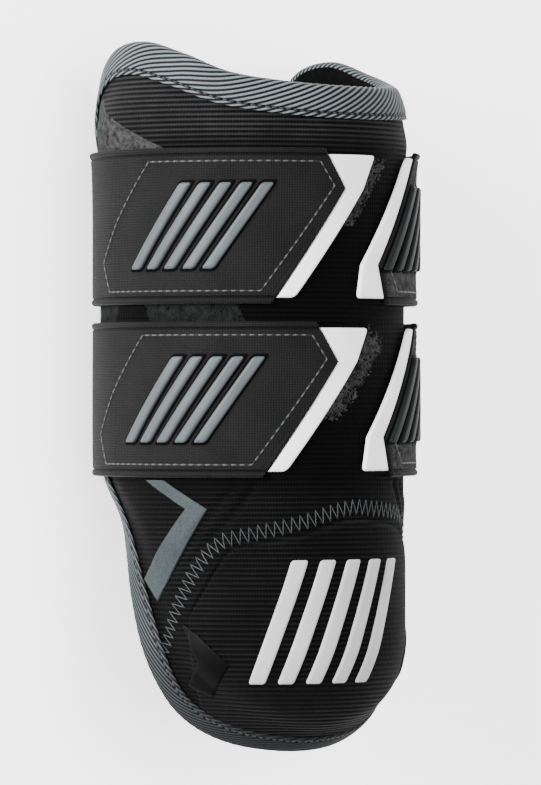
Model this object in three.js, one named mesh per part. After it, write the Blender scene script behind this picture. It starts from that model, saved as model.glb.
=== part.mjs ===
// Batter's elbow guard: a padded half sleeve with an elbow cup, a bound edge and two wrap-round straps.
// It lies on the flat backs of its straps, cup up. Millimetres: +X across the arm, +Y along the arm
// towards the upper end, +Z out of the front of the guard. Angles are degrees round the arm, from the
// front (+Z) towards +X. A station is a distance along the arm, measured over the surface.
import * as THREE from "three";

// Half sleeve: length over the surface from the tip of the cup to the top of the ears, radius of the
// outside where the straps lie, and half the angle that it wraps
const LENGTH = 262.5;
const RADIUS = 54.1;
const EDGE_ANGLE = 137;
const PANEL_THICKNESS = 6;
const SEAM_GAP = 0.3;

// Inward curl of the cup
const CUP_CURL_ANGLE = 70;
const CUP_CURL_RADIUS = 44;

// Binding tape, and how the padded edge sinks under it
const TAPE_WIDTH = 11.5;
const TAPE_INSIDE_WIDTH = 8;
const TAPE_THICKNESS = 1;
const TAPE_GAP = 0.64;
const EDGE_SINK = 1.6;
const EDGE_MARGIN = 2.4;
const EDGE_SLOPE = 5;

// Inner pad
const LINER_THICKNESS = 3;
const LINER_GAP = 0.55;
const LINER_MARGIN = 7;

// Straps: they lie clear of the guard, up to the stand-off, and run flat across its open back
const STRAP_WIDTH = 54.2;
const STRAP_THICKNESS = 1.8;
const STRAP_SPACING = 6.1;
const LOWER_STRAP_STATION = -0.5;
const STRAP_STANDOFF = 2.6;
const STRAP_BACK_GAP = 1.7;
const STRAP_CORNER_BLEND = 2.4;

// Shaped strap ends
const TAB_GAP = 20;
const TAB_SLANT = 28;
const TAB_CENTRE_ANGLE = 9.4;

// Moulded end trims
const TIP_WIDTH = 8.5;
const TIP_THICKNESS = 1.3;
const TIP_GAP = 0.3;
const TIP_EDGE_INSET = 2.1;

// Grip ribs
const RIB_COUNT = 5;
const RIB_LIFT = 1.3;
const RIB_GAP = 0.3;
const RIB_BEVEL = 0.5;
const TAB_RIB_WIDTH = 4.4;
const TAB_RIB_PITCH = 7.2;
const TAB_RIB_MARGIN = 12.1;
const TAB_RIB_LEAN = 35;
const TAB_RIB_SETBACK = { left: 54, right: 28 };
const CUP_RIB_WIDTH = 6;
const CUP_RIB_PITCH = 10.4;
const CUP_RIB_HEIGHT = 43;
const CUP_RIB_LEAN = 20;
const CUP_RIB_ANGLE = -4;

// Thin stripes on the cover and on the cup; the one on the cover starts just under the lower strap
const FILM_THICKNESS = 0.4;
const FILM_GAP = 0.3;
const STRIPE_WIDTH = 8.2;
const STRIPE_STRAP_GAP = 1;

// Tables. A station is a share of LENGTH, upwards from the middle of the lower strap's place; an angle is
// a share of EDGE_ANGLE; a radius, a forward shift and a depth are shares of RADIUS.

// Section without its edge: radius of the outside, and how far its axis lies to the front
const SECTIONS = [
  { station: 0.48, radius: 0.952, forward: 0 },
  { station: 0.4305, radius: 0.998, forward: 0 },
  { station: 0.3733, radius: 1.035, forward: 0 },
  { station: 0.3048, radius: 1.0055, forward: 0 },
  { station: 0.1143, radius: 1, forward: 0 },
  { station: -0.099, radius: 0.998, forward: 0 },
  { station: -0.1829, radius: 0.9686, forward: 0.0444 },
  { station: -0.259, radius: 0.9445, forward: 0.085 },
  { station: -0.5, radius: 0.9445, forward: 0.085 },
];

// Places where the panel is drawn in: depth at the middle, and how far it spreads
const TUCKS = [
  { angle: -0.861, station: -0.1752, depth: 0.0869, spreadAngle: 0.146, spreadStation: 0.061 },
  { angle: 0.861, station: -0.1752, depth: 0.0869, spreadAngle: 0.146, spreadStation: 0.061 },
  { angle: 0.423, station: 0.4457, depth: 0.0518, spreadAngle: 0.365, spreadStation: 0.0571 },
];

// Fold line of the bound edge, clockwise from the lower end of the left free edge
const OUTLINE = [
  { angle: -1, station: -0.061 },
  { angle: -1, station: 0.137 },
  { angle: -1, station: 0.335 },
  { angle: -0.9635, station: 0.4114 },
  { angle: -0.8248, station: 0.4629 },
  { angle: -0.6277, station: 0.4762 },
  { angle: -0.4599, station: 0.4571 },
  { angle: -0.3212, station: 0.4324 },
  { angle: -0.146, station: 0.419 },
  { angle: 0.0146, station: 0.4152 },
  { angle: 0.1898, station: 0.4164 },
  { angle: 0.438, station: 0.4248 },
  { angle: 0.6277, station: 0.4438 },
  { angle: 0.7883, station: 0.464 },
  { angle: 0.9197, station: 0.4495 },
  { angle: 0.9854, station: 0.4 },
  { angle: 1, station: 0.3276 },
  { angle: 1, station: 0.137 },
  { angle: 1, station: -0.061 },
  { angle: 0.9708, station: -0.1029 },
  { angle: 0.9051, station: -0.1333 },
  { angle: 0.8467, station: -0.1638 },
  { angle: 0.7701, station: -0.2057 },
  { angle: 0.7263, station: -0.2667 },
  { angle: 0.6569, station: -0.3429 },
  { angle: 0.5985, station: -0.4152 },
  { angle: 0.5109, station: -0.4686 },
  { angle: 0.3066, station: -0.5086 },
  { angle: 0, station: -0.5238 },
  { angle: -0.3066, station: -0.5086 },
  { angle: -0.5109, station: -0.4686 },
  { angle: -0.5985, station: -0.4152 },
  { angle: -0.6569, station: -0.3429 },
  { angle: -0.7263, station: -0.2667 },
  { angle: -0.7701, station: -0.2057 },
  { angle: -0.8467, station: -0.1638 },
  { angle: -0.9051, station: -0.1333 },
  { angle: -0.9708, station: -0.1029 },
];
const EAR_CORNER = 0.4038;
const CUP_CORNER = -0.4267;

// Seam between the sleeve and the elbow cup
const SEAM = [
  { angle: -0.6642, station: -0.4267 },
  { angle: -0.5547, station: -0.3253 },
  { angle: -0.4818, station: -0.259 },
  { angle: -0.4234, station: -0.219 },
  { angle: -0.3577, station: -0.1912 },
  { angle: -0.2774, station: -0.181 },
  { angle: -0.1241, station: -0.1646 },
  { angle: 0.0146, station: -0.1467 },
  { angle: 0.0876, station: -0.1459 },
  { angle: 0.3212, station: -0.1619 },
  { angle: 0.4161, station: -0.2019 },
  { angle: 0.4964, station: -0.259 },
  { angle: 0.5693, station: -0.3253 },
  { angle: 0.6788, station: -0.4267 },
];

// Clearance between the cover and the inside of a strap: share of STRAP_STANDOFF at a turn from the front,
// where the turn is a share of half a turn
const STRAP_CLEARANCE = [
  { turn: -1, clearance: 0.46 },
  { turn: -0.761, clearance: 0.5 },
  { turn: -0.678, clearance: 0.31 },
  { turn: -0.6, clearance: 0.173 },
  { turn: 0.044, clearance: 0.173 },
  { turn: 0.167, clearance: 0.46 },
  { turn: 0.311, clearance: 1 },
  { turn: 0.5, clearance: 0.85 },
  { turn: 0.678, clearance: 0.385 },
  { turn: 0.761, clearance: 0.5 },
  { turn: 1, clearance: 0.46 },
];

// Half the gap between a strap's two ends as a share of TAB_GAP
const STRAPS = [
  { name: "lower", place: 0, halfGap: 0.57 },
  { name: "upper", place: 1, halfGap: 0.42 },
];

// Shape of a strap end: height as a share of STRAP_WIDTH, how far it sets back as a share of TAB_SLANT,
// and how wide the trim is there as a share of TIP_WIDTH. The right end is turned half round.
const TAB_END = {
  left: [
    { rise: -0.5, setback: 1, tip: 0.78 },
    { rise: 0.2435, setback: 0, tip: 1 },
    { rise: 0.5, setback: 0.314, tip: 2.78 },
  ],
  right: [
    { rise: -0.5, setback: 1, tip: 0.78 },
    { rise: 0.2435, setback: 0, tip: 1 },
    { rise: 0.5, setback: 0.143, tip: 1.76 },
  ],
};

// Stripes: middle line, width as a share of STRIPE_WIDTH, and how much lower the front side is than the
// back side as a share of STRIPE_WIDTH
const STRIPE_TOP = LOWER_STRAP_STATION - STRAP_WIDTH / 2 - STRIPE_STRAP_GAP;
const COVER_STRIPE = [
  { angle: -0.5401, station: STRIPE_TOP / LENGTH, width: 1, fall: 0 },
  { angle: -0.4161, station: -0.1467, width: 1, fall: 0 },
  { angle: -0.6095, station: -0.2552, width: 1, fall: 0.6 },
];
const CUP_STRIPE = [
  { angle: -0.4526, station: -0.3124, width: 0.25, fall: 0 },
  { angle: -0.3905, station: -0.3505, width: 1.4, fall: 0 },
  { angle: -0.4526, station: -0.3981, width: 0.75, fall: -0.35 },
];
const CUP_RIB_STATION = -0.296;

const COLOURS = {
  knit: 0x1b1c1e,
  lining: 0x2a2c2e,
  tape: 0x6f777b,
  webbing: 0x2b2b2c,
  white: 0xe4e4e4,
  grip: 0x868e92,
  film: 0x858c90,
  gloss: 0x0c0c0d,
};

const radians = THREE.MathUtils.degToRad;
const degrees = THREE.MathUtils.radToDeg;

// Smooth value of one column of a table at x: a cubic through the rows, level at both ends
function along(table, key, column, x) {
  const last = table.length - 1;
  if (x <= Math.min(table[0][key], table[last][key])) return table[0][key] < table[last][key] ? table[0][column] : table[last][column];
  if (x >= Math.max(table[0][key], table[last][key])) return table[0][key] < table[last][key] ? table[last][column] : table[0][column];
  const rising = table[0][key] < table[last][key];
  let i = 0;
  while (rising ? table[i + 1][key] < x : table[i + 1][key] > x) i += 1;
  const slope = (a, b) => (table[b][column] - table[a][column]) / (table[b][key] - table[a][key]);
  const tangent = (k) => (k === 0 || k === last ? 0 : slope(k - 1, k + 1));
  const span = table[i + 1][key] - table[i][key];
  const t = (x - table[i][key]) / span;
  const t2 = t * t;
  const t3 = t2 * t;
  return (2 * t3 - 3 * t2 + 1) * table[i][column] + (t3 - 2 * t2 + t) * span * tangent(i)
    + (3 * t2 - 2 * t3) * table[i + 1][column] + (t3 - t2) * span * tangent(i + 1);
}

// Straight-line value of one column of a table at x
function between(table, key, column, x) {
  let i = 0;
  const falling = table[0][key] > table[1][key];
  while (i < table.length - 2 && (falling ? table[i + 1][key] > x : table[i + 1][key] < x)) i += 1;
  const t = THREE.MathUtils.clamp((x - table[i][key]) / (table[i + 1][key] - table[i][key]), 0, 1);
  return THREE.MathUtils.lerp(table[i][column], table[i + 1][column], t);
}

// Station where the cup starts to curl, so that it turns by its whole angle at its tip
const CUP_TIP = Math.min(...OUTLINE.map((row) => row.station)) * LENGTH;
const CURL_START = CUP_TIP + CUP_CURL_RADIUS * radians(CUP_CURL_ANGLE);
const curlAt = (station) => Math.max(0, (CURL_START - station) / CUP_CURL_RADIUS);

// Radius of the outside at a station, with the inward curl of the cup
function radiusAt(station) {
  const section = along(SECTIONS, "station", "radius", station / LENGTH) * RADIUS;
  return section - CUP_CURL_RADIUS * (1 - Math.cos(curlAt(station)));
}

// Depth by which the panel is drawn in at a place
function tuckAt(angle, station) {
  let depth = 0;
  for (const tuck of TUCKS) {
    const across = (angle / EDGE_ANGLE - tuck.angle) / tuck.spreadAngle;
    const away = (station / LENGTH - tuck.station) / tuck.spreadStation;
    depth += tuck.depth * RADIUS * Math.exp(-across * across - away * away);
  }
  return depth;
}

// Point at a height above the outside of the panel (below it where the height is negative)
function onPanel(angle, station, height) {
  const curl = curlAt(station);
  const y = curl > 0 ? CURL_START - CUP_CURL_RADIUS * Math.sin(curl) : station;
  const reach = radiusAt(station) - tuckAt(angle, station) + height * Math.cos(curl);
  const a = radians(angle);
  const forward = along(SECTIONS, "station", "forward", station / LENGTH) * RADIUS;
  return new THREE.Vector3(reach * Math.sin(a), y - height * Math.sin(curl), forward + reach * Math.cos(a));
}

// Closed edge line as evenly spaced rows, each with its inward direction over the surface
const EDGE_SAMPLES = 480;
const edgeCurve = new THREE.CatmullRomCurve3(
  OUTLINE.map((row) => {
    const station = row.station * LENGTH;
    return new THREE.Vector3(radians(row.angle * EDGE_ANGLE) * radiusAt(station), station, 0);
  }), true, "centripetal");
edgeCurve.arcLengthDivisions = EDGE_SAMPLES * 4;
const edgeRows = Array.from({ length: EDGE_SAMPLES }, (_, i) => {
  const p = edgeCurve.getPointAt(i / EDGE_SAMPLES);
  const t = edgeCurve.getTangentAt(i / EDGE_SAMPLES);
  return { angle: degrees(p.x / radiusAt(p.y)), station: p.y, inX: t.y, inY: -t.x, x: p.x, y: p.y };
});

// Place on the panel at a share of the way round the edge, moved in from the fold line
function inFromEdge(share, inset) {
  const row = edgeRows[((Math.round(share * EDGE_SAMPLES) % EDGE_SAMPLES) + EDGE_SAMPLES) % EDGE_SAMPLES];
  const station = row.station + row.inY * inset;
  return { angle: row.angle + degrees((row.inX * inset) / radiusAt(row.station)), station };
}

// Distance over the surface from a place on the panel to the fold line
function toEdge(angle, station) {
  const x = radians(angle) * radiusAt(station);
  return Math.min(...edgeRows.map((row) => Math.hypot(row.x - x, row.y - station)));
}

// Share of the way round the edge where it passes a station, on the left or the right
function edgeShareAt(station, side) {
  let best = 0;
  edgeRows.forEach((row, i) => {
    const miss = Math.abs(row.station - station) + (Math.sign(row.angle) === side ? 0 : 1000);
    const bestRow = edgeRows[best];
    const bestMiss = Math.abs(bestRow.station - station) + (Math.sign(bestRow.angle) === side ? 0 : 1000);
    if (miss < bestMiss) best = i;
  });
  return best / EDGE_SAMPLES;
}

// Closed solid from a grid of places: at(s, t, outer) gives a point, s and t from 0 to 1
function gridSolid(sSteps, tSteps, at) {
  const across = sSteps.length;
  const layer = across * tSteps.length;
  const positions = [];
  for (const outer of [true, false]) {
    for (const t of tSteps) for (const s of sSteps) positions.push(...at(s, t, outer).toArray());
  }
  const indices = [];
  const length = (a, b) => Math.hypot(...[0, 1, 2].map((k) => positions[a * 3 + k] - positions[b * 3 + k]));
  const quad = (a, b, c, d) => {
    if (length(a, c) <= length(b, d)) indices.push(a, b, c, a, c, d);
    else indices.push(a, b, d, b, c, d);
  };
  const cell = (i, j) => j * across + i;
  for (let j = 0; j < tSteps.length - 1; j += 1) {
    for (let i = 0; i < across - 1; i += 1) {
      quad(cell(i, j), cell(i + 1, j), cell(i + 1, j + 1), cell(i, j + 1));
      quad(layer + cell(i, j), layer + cell(i, j + 1), layer + cell(i + 1, j + 1), layer + cell(i + 1, j));
    }
  }
  const wall = (a, b) => quad(a, layer + a, layer + b, b);
  for (let i = 0; i < across - 1; i += 1) {
    wall(cell(i, 0), cell(i + 1, 0));
    wall(cell(i + 1, tSteps.length - 1), cell(i, tSteps.length - 1));
  }
  for (let j = 0; j < tSteps.length - 1; j += 1) {
    wall(cell(0, j + 1), cell(0, j));
    wall(cell(across - 1, j), cell(across - 1, j + 1));
  }
  const geometry = new THREE.BufferGeometry();
  geometry.setAttribute("position", new THREE.Float32BufferAttribute(positions, 3));
  geometry.setIndex(indices);
  geometry.computeVertexNormals();
  return geometry;
}

// Even steps from 0 to 1, with extra steps close to the ends that lie under the binding. The run is the
// length that the steps divide, and the extra steps are shares of the tape's width.
const evenSteps = (count) => Array.from({ length: count + 1 }, (_, i) => i / count);
function edgedSteps(count, run, low, high) {
  const near = low.map((share) => (share * TAPE_WIDTH) / run);
  const far = high.map((share) => 1 - (share * TAPE_WIDTH) / run);
  const first = (near.at(-1) ?? 0) + 0.6 / count;
  const last = (far.at(-1) ?? 1) - 0.6 / count;
  return [0, ...near, ...evenSteps(count).filter((s) => s > first && s < last), ...far.reverse(), 1];
}

// Place inside four sides, each a function from 0 to 1; the left and right sides bend to meet the other two
function inPatch(sides, s, t) {
  const mix = (column) => {
    const v = (side, u) => sides[side](u)[column];
    const lower = (u) => v("bottom", u);
    const upper = (u) => v("top", u);
    const side = (name, end) => v(name, t) + (1 - t) * (lower(end) - v(name, 0)) + t * (upper(end) - v(name, 1));
    const edges = (1 - t) * lower(s) + t * upper(s) + (1 - s) * side("left", 0) + s * side("right", 1);
    return edges - (1 - s) * ((1 - t) * lower(0) + t * upper(0)) - s * ((1 - t) * lower(1) + t * upper(1));
  };
  return { angle: mix("angle"), station: mix("station") };
}

// Run of the edge between two shares, moved in from the fold line
const edgeRun = (from, to, inset) => (u) => inFromEdge(from + (to - from) * u, inset);

const PANEL_INSET = TAPE_THICKNESS + TAPE_GAP;
const earLeft = edgeShareAt(EAR_CORNER * LENGTH, -1);
const earRight = edgeShareAt(EAR_CORNER * LENGTH, 1);
const cupLeft = edgeShareAt(CUP_CORNER * LENGTH, -1);
const cupRight = edgeShareAt(CUP_CORNER * LENGTH, 1);

// Station of the seam at an angle
const seamAt = (angle) => along(SEAM, "angle", "station", angle / EDGE_ANGLE) * LENGTH;

// Where the seam meets the edge on each side
function seamEnd(side) {
  let best = null;
  for (let i = 0; i < EDGE_SAMPLES; i += 1) {
    const p = inFromEdge(i / EDGE_SAMPLES, PANEL_INSET);
    const miss = Math.abs(seamAt(p.angle) - p.station);
    if (Math.sign(p.angle) === side && p.station < 0 && (!best || miss < best.miss)) best = { share: i / EDGE_SAMPLES, miss, angle: p.angle };
  }
  return best;
}
const seamLeft = seamEnd(-1);
const seamRight = seamEnd(1);
const seamRun = (shift) => (u) => {
  const angle = THREE.MathUtils.lerp(seamLeft.angle, seamRight.angle, u);
  return { angle, station: seamAt(angle) + shift };
};

// Height of the outside face of the padded panel, sunk under the binding
function padHeight(angle, station) {
  const rise = THREE.MathUtils.smoothstep(toEdge(angle, station), TAPE_WIDTH + EDGE_MARGIN, TAPE_WIDTH + EDGE_MARGIN + EDGE_SLOPE);
  return -EDGE_SINK * (1 - rise);
}

// Padded panel between four sides; both panels share their columns, so that the seam between them fits
const EDGE_COLUMNS = [0.54, 1.12, 1.76];
const PANEL_COLUMNS = edgedSteps(28, 2 * radians(EDGE_ANGLE) * RADIUS, EDGE_COLUMNS, EDGE_COLUMNS);
function paddedPanel(sides, tSteps) {
  return gridSolid(PANEL_COLUMNS, tSteps, (s, t, outer) => {
    const p = inPatch(sides, s, t);
    const sunk = padHeight(p.angle, p.station);
    return onPanel(p.angle, p.station, outer ? sunk : -PANEL_THICKNESS - sunk);
  });
}

const earRow = Math.max(...OUTLINE.map((row) => row.station)) * LENGTH;
const coverPanel = () => paddedPanel({
  left: edgeRun(seamLeft.share, earLeft + (earLeft < seamLeft.share ? 1 : 0), PANEL_INSET),
  right: edgeRun(seamRight.share, earRight, PANEL_INSET),
  top: edgeRun(earLeft, earRight, PANEL_INSET),
  bottom: seamRun(SEAM_GAP / 2),
}, edgedSteps(17, earRow - seamAt(0), [], [0.65, 1.1, 1.53, 2.04]));

const elbowCup = () => paddedPanel({
  left: edgeRun(cupLeft, seamLeft.share, PANEL_INSET),
  right: edgeRun(cupRight, seamRight.share, PANEL_INSET),
  top: seamRun(-SEAM_GAP / 2),
  bottom: (u) => inFromEdge(cupLeft + (cupRight - cupLeft) * u, PANEL_INSET),
}, edgedSteps(10, seamAt(0) - CUP_TIP, [0.5, 0.92, 1.42], []));

// Inner pad, one piece behind both panels
function linerPad() {
  const inset = TAPE_INSIDE_WIDTH + LINER_MARGIN;
  const sides = {
    left: edgeRun(cupLeft, earLeft + (earLeft < cupLeft ? 1 : 0), inset),
    right: edgeRun(cupRight, earRight, inset),
    top: edgeRun(earLeft, earRight, inset),
    bottom: edgeRun(cupLeft, cupRight, inset),
  };
  return gridSolid(evenSteps(26), evenSteps(16), (s, t, outer) => {
    const p = inPatch(sides, s, t);
    return onPanel(p.angle, p.station, -PANEL_THICKNESS - LINER_GAP - (outer ? 0 : LINER_THICKNESS));
  });
}

// Binding tape: a channel folded over the edge of the panel, all the way round
const BINDING_STEPS = 96;
function edgeBinding() {
  const top = -EDGE_SINK + TAPE_GAP;
  const under = -PANEL_THICKNESS + EDGE_SINK - TAPE_GAP;
  const wall = TAPE_THICKNESS;
  const bulge = (top - under) / 4;
  const section = [
    { inset: TAPE_WIDTH, height: top },
    { inset: TAPE_WIDTH, height: top + wall },
    { inset: 2.2 * wall, height: top + 0.9 * wall },
    { inset: 0.6 * wall, height: top + 0.25 * wall },
    { inset: 0, height: top - bulge },
    { inset: 0, height: under + bulge },
    { inset: 0.6 * wall, height: under - 0.25 * wall },
    { inset: 2.2 * wall, height: under - 0.9 * wall },
    { inset: TAPE_INSIDE_WIDTH, height: under - wall },
    { inset: TAPE_INSIDE_WIDTH, height: under },
    { inset: wall, height: under },
    { inset: wall, height: top },
  ];
  const positions = [];
  const indices = [];
  for (let k = 0; k < BINDING_STEPS; k += 1) {
    for (const corner of section) {
      const p = inFromEdge(k / BINDING_STEPS, corner.inset);
      positions.push(...onPanel(p.angle, p.station, corner.height).toArray());
    }
  }
  const count = section.length;
  for (let k = 0; k < BINDING_STEPS; k += 1) {
    const next = (k + 1) % BINDING_STEPS;
    for (let i = 0; i < count; i += 1) {
      const j = (i + 1) % count;
      const [a, b, c, d] = [k * count + i, next * count + i, next * count + j, k * count + j];
      indices.push(a, b, c, a, c, d);
    }
  }
  const geometry = new THREE.BufferGeometry();
  geometry.setAttribute("position", new THREE.Float32BufferAttribute(positions, 3));
  geometry.setIndex(indices);
  geometry.computeVertexNormals();
  return geometry;
}

// Distance from the arm axis to a strap: round the guard, and flat across its open back
const BACK_REACH = -RADIUS * Math.cos(radians(EDGE_ANGLE)) + STRAP_BACK_GAP;
function strapReach(angle, station, height) {
  const clearance = along(STRAP_CLEARANCE, "turn", "clearance", angle / 180) * STRAP_STANDOFF;
  const round = radiusAt(station) + clearance + height;
  const facing = -Math.cos(radians(angle));
  if (facing <= 0.1) return round;
  const flat = (BACK_REACH + height) / facing;
  const blend = Math.max(STRAP_CORNER_BLEND - Math.abs(round - flat), 0) / STRAP_CORNER_BLEND;
  return Math.min(round, flat) - (blend * blend * STRAP_CORNER_BLEND) / 4;
}

// Point at a height above the inside of a strap; the angle may run past 180
function onStrap(angle, station, height) {
  const turn = THREE.MathUtils.euclideanModulo(angle + 180, 360) - 180;
  const reach = strapReach(turn, station, height);
  const a = radians(turn);
  return new THREE.Vector3(reach * Math.sin(a), station, reach * Math.cos(a));
}

// Degrees round a strap for a length along it, and the middle of a strap along the arm
const strapDegrees = (length) => degrees(length / (RADIUS + STRAP_THICKNESS));
const strapStation = (strap) => LOWER_STRAP_STATION + strap.place * (STRAP_WIDTH + STRAP_SPACING);

// Value for the left or the right tab; side is -1 left, 1 right
const bySide = (pair, side) => (side < 0 ? pair.left : pair.right);

// Angle at which a tab ends, at a height above the middle of the strap
function tabEnd(strap, side, rise) {
  const shape = bySide(TAB_END, side);
  const setback = strap.halfGap * TAB_GAP + between(shape, "rise", "setback", (-side * rise) / STRAP_WIDTH) * TAB_SLANT;
  return TAB_CENTRE_ANGLE + side * strapDegrees(setback);
}

// Strap from the end of its left tab round the back to the end of its right tab
const BACK_STEP = 6.5;
const TAB_COLUMNS = 5;
const POINT_RISE = TAB_END.left[1].rise * STRAP_WIDTH;
function strapBand(strap) {
  const half = STRAP_WIDTH / 2;
  const rises = [-half, -POINT_RISE, 0, POINT_RISE, half];
  const tabLength = strapDegrees(strap.halfGap * TAB_GAP + TAB_SLANT + 3);
  const left = TAB_CENTRE_ANGLE - tabLength;
  const right = TAB_CENTRE_ANGLE + tabLength - 360;
  const steps = Math.round((left - right) / BACK_STEP);
  const columns = [];
  for (let i = 0; i < TAB_COLUMNS; i += 1) columns.push((rise) => THREE.MathUtils.lerp(tabEnd(strap, -1, rise), left, i / TAB_COLUMNS));
  for (let i = 0; i <= steps; i += 1) columns.push(() => THREE.MathUtils.lerp(left, right, i / steps));
  for (let i = TAB_COLUMNS - 1; i >= 0; i -= 1) columns.push((rise) => THREE.MathUtils.lerp(tabEnd(strap, 1, rise) - 360, right, i / TAB_COLUMNS));
  return gridSolid(columns.map((_, i) => columns.length - 1 - i), rises, (i, rise, outer) =>
    onStrap(columns[i](rise), strapStation(strap) + rise, outer ? STRAP_THICKNESS : 0));
}

// Moulded trim along the end of a tab
function tabTip(strap, side) {
  const half = STRAP_WIDTH / 2 - TIP_EDGE_INSET;
  const rises = [-half, -half / 2, 0, POINT_RISE / 2, POINT_RISE, (POINT_RISE + half) / 2, half];
  return gridSolid(evenSteps(3), side < 0 ? rises : rises.map((r) => -r).reverse(), (s, rise, outer) => {
    const near = tabEnd(strap, side, rise) - side * strapDegrees(TIP_GAP);
    const width = between(bySide(TAB_END, side), "rise", "tip", (-side * rise) / STRAP_WIDTH) * TIP_WIDTH;
    const far = near - side * strapDegrees(width);
    const angle = THREE.MathUtils.lerp(near, far, side < 0 ? s : 1 - s);
    return onStrap(angle, strapStation(strap) + rise, outer ? TIP_THICKNESS : 0);
  });
}

// One leaning grip rib: a bar with bevelled edges, on a surface given by place(angle, station, height)
function gripRib(rib, index, place) {
  const middle = (index - (RIB_COUNT - 1) / 2) * rib.pitch;
  const lean = Math.tan(radians(rib.lean));
  return gridSolid([0, 1], evenSteps(rib.steps), (s, t, outer) => {
    const bevel = outer ? RIB_BEVEL : 0;
    const rise = (t - 0.5) * (rib.height - 2 * bevel);
    const slide = middle + (s - 0.5) * (rib.width - 2 * bevel) + lean * rise;
    return place(rib.angle + degrees(slide / rib.radius), rib.station + rise, rib.base + (outer ? RIB_LIFT : 0));
  });
}

const tabRib = (strap, side, index) => gripRib({
  width: TAB_RIB_WIDTH,
  pitch: TAB_RIB_PITCH,
  height: STRAP_WIDTH - 2 * TAB_RIB_MARGIN,
  lean: TAB_RIB_LEAN,
  angle: TAB_CENTRE_ANGLE + side * strapDegrees(strap.halfGap * TAB_GAP + bySide(TAB_RIB_SETBACK, side)),
  station: strapStation(strap),
  radius: RADIUS + STRAP_THICKNESS,
  base: STRAP_THICKNESS + RIB_GAP,
  steps: 4,
}, index, onStrap);

const cupRib = (index) => gripRib({
  width: CUP_RIB_WIDTH,
  pitch: CUP_RIB_PITCH,
  height: CUP_RIB_HEIGHT,
  lean: CUP_RIB_LEAN,
  angle: CUP_RIB_ANGLE,
  station: CUP_RIB_STATION * LENGTH,
  radius: radiusAt(CUP_RIB_STATION * LENGTH),
  base: RIB_GAP,
  steps: 7,
}, index, onPanel);

// Bent stripe of thin film; side is -1 left, 1 right
function filmStripe(table, side, parts) {
  const rows = [...table].reverse();
  const stations = [];
  for (let i = 0; i < rows.length - 1; i += 1) {
    for (let k = 0; k < parts; k += 1) stations.push(THREE.MathUtils.lerp(rows[i].station, rows[i + 1].station, k / parts));
  }
  stations.push(rows.at(-1).station);
  return gridSolid([0, 0.5, 1], stations, (s, share, outer) => {
    const front = (side < 0 ? s : 1 - s) - 0.5;
    const at = (column) => between(rows, "station", column, share);
    const station = share * LENGTH - front * at("fall") * STRIPE_WIDTH;
    const angle = at("angle") * EDGE_ANGLE + degrees((front * at("width") * STRIPE_WIDTH) / radiusAt(station));
    return onPanel(-side * angle, station, padHeight(angle, station) + FILM_GAP + (outer ? FILM_THICKNESS : 0));
  });
}

const finish = (colour, roughness, metalness = 0) => new THREE.MeshStandardMaterial({ color: colour, roughness, metalness });
const materials = {
  knit: finish(COLOURS.knit, 0.85),
  lining: finish(COLOURS.lining, 0.9),
  tape: finish(COLOURS.tape, 0.7),
  webbing: finish(COLOURS.webbing, 0.85),
  white: finish(COLOURS.white, 0.45),
  grip: finish(COLOURS.grip, 0.4),
  film: finish(COLOURS.film, 0.55),
  gloss: finish(COLOURS.gloss, 0.25),
};

const guard = new THREE.Group();
function add(name, geometry, material) {
  const mesh = new THREE.Mesh(geometry, material);
  mesh.name = name;
  guard.add(mesh);
}

add("cover_panel", coverPanel(), materials.knit);
add("elbow_cup", elbowCup(), materials.knit);
add("liner_pad", linerPad(), materials.lining);
add("edge_binding", edgeBinding(), materials.tape);
for (const [side, word] of [[-1, "left"], [1, "right"]]) {
  add(`side_stripe_${word}`, filmStripe(COVER_STRIPE, side, 5), materials.film);
  add(`cup_stripe_${word}`, filmStripe(CUP_STRIPE, side, 3), materials.gloss);
  for (const strap of STRAPS) {
    add(`strap_tip_${strap.name}_${word}`, tabTip(strap, side), materials.white);
    for (let i = 0; i < RIB_COUNT; i += 1) add(`tab_rib_${strap.name}_${word}_${i + 1}`, tabRib(strap, side, i), materials.grip);
  }
}
for (const strap of STRAPS) add(`strap_${strap.name}`, strapBand(strap), materials.webbing);
for (let i = 0; i < RIB_COUNT; i += 1) add(`cup_rib_${i + 1}`, cupRib(i), materials.white);

// Sets the guard down on its strap backs, with the middle of its footprint at the origin
const bounds = new THREE.Box3().setFromObject(guard);
const middle = bounds.getCenter(new THREE.Vector3());
guard.position.set(-middle.x, -middle.y, -bounds.min.z);

export default guard;
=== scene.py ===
# %% [markdown]
# # A batter's elbow guard, dressed for the studio
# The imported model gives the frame: every plain solid already has its size and place. This lesson swaps each
# soft solid for a piece with its own cloth, seams and stitches, and leaves everything where the frame says.

# %% Load the frame
import math

import bpy
import numpy as np
from mathutils import Matrix, Vector, noise


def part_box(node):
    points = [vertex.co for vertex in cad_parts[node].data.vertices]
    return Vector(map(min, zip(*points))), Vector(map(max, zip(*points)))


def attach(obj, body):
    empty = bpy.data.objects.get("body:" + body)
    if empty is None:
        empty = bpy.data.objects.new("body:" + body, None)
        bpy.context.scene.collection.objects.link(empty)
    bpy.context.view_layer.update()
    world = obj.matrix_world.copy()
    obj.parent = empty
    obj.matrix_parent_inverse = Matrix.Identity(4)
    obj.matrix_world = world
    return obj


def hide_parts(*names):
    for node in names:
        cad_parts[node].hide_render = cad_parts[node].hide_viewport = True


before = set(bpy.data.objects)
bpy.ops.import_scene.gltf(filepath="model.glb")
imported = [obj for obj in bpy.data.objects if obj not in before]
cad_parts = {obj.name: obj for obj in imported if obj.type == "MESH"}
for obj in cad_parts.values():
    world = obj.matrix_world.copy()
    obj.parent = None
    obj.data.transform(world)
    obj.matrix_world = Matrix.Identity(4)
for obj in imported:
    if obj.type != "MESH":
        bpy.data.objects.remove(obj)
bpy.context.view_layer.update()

MM = 0.001

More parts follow.
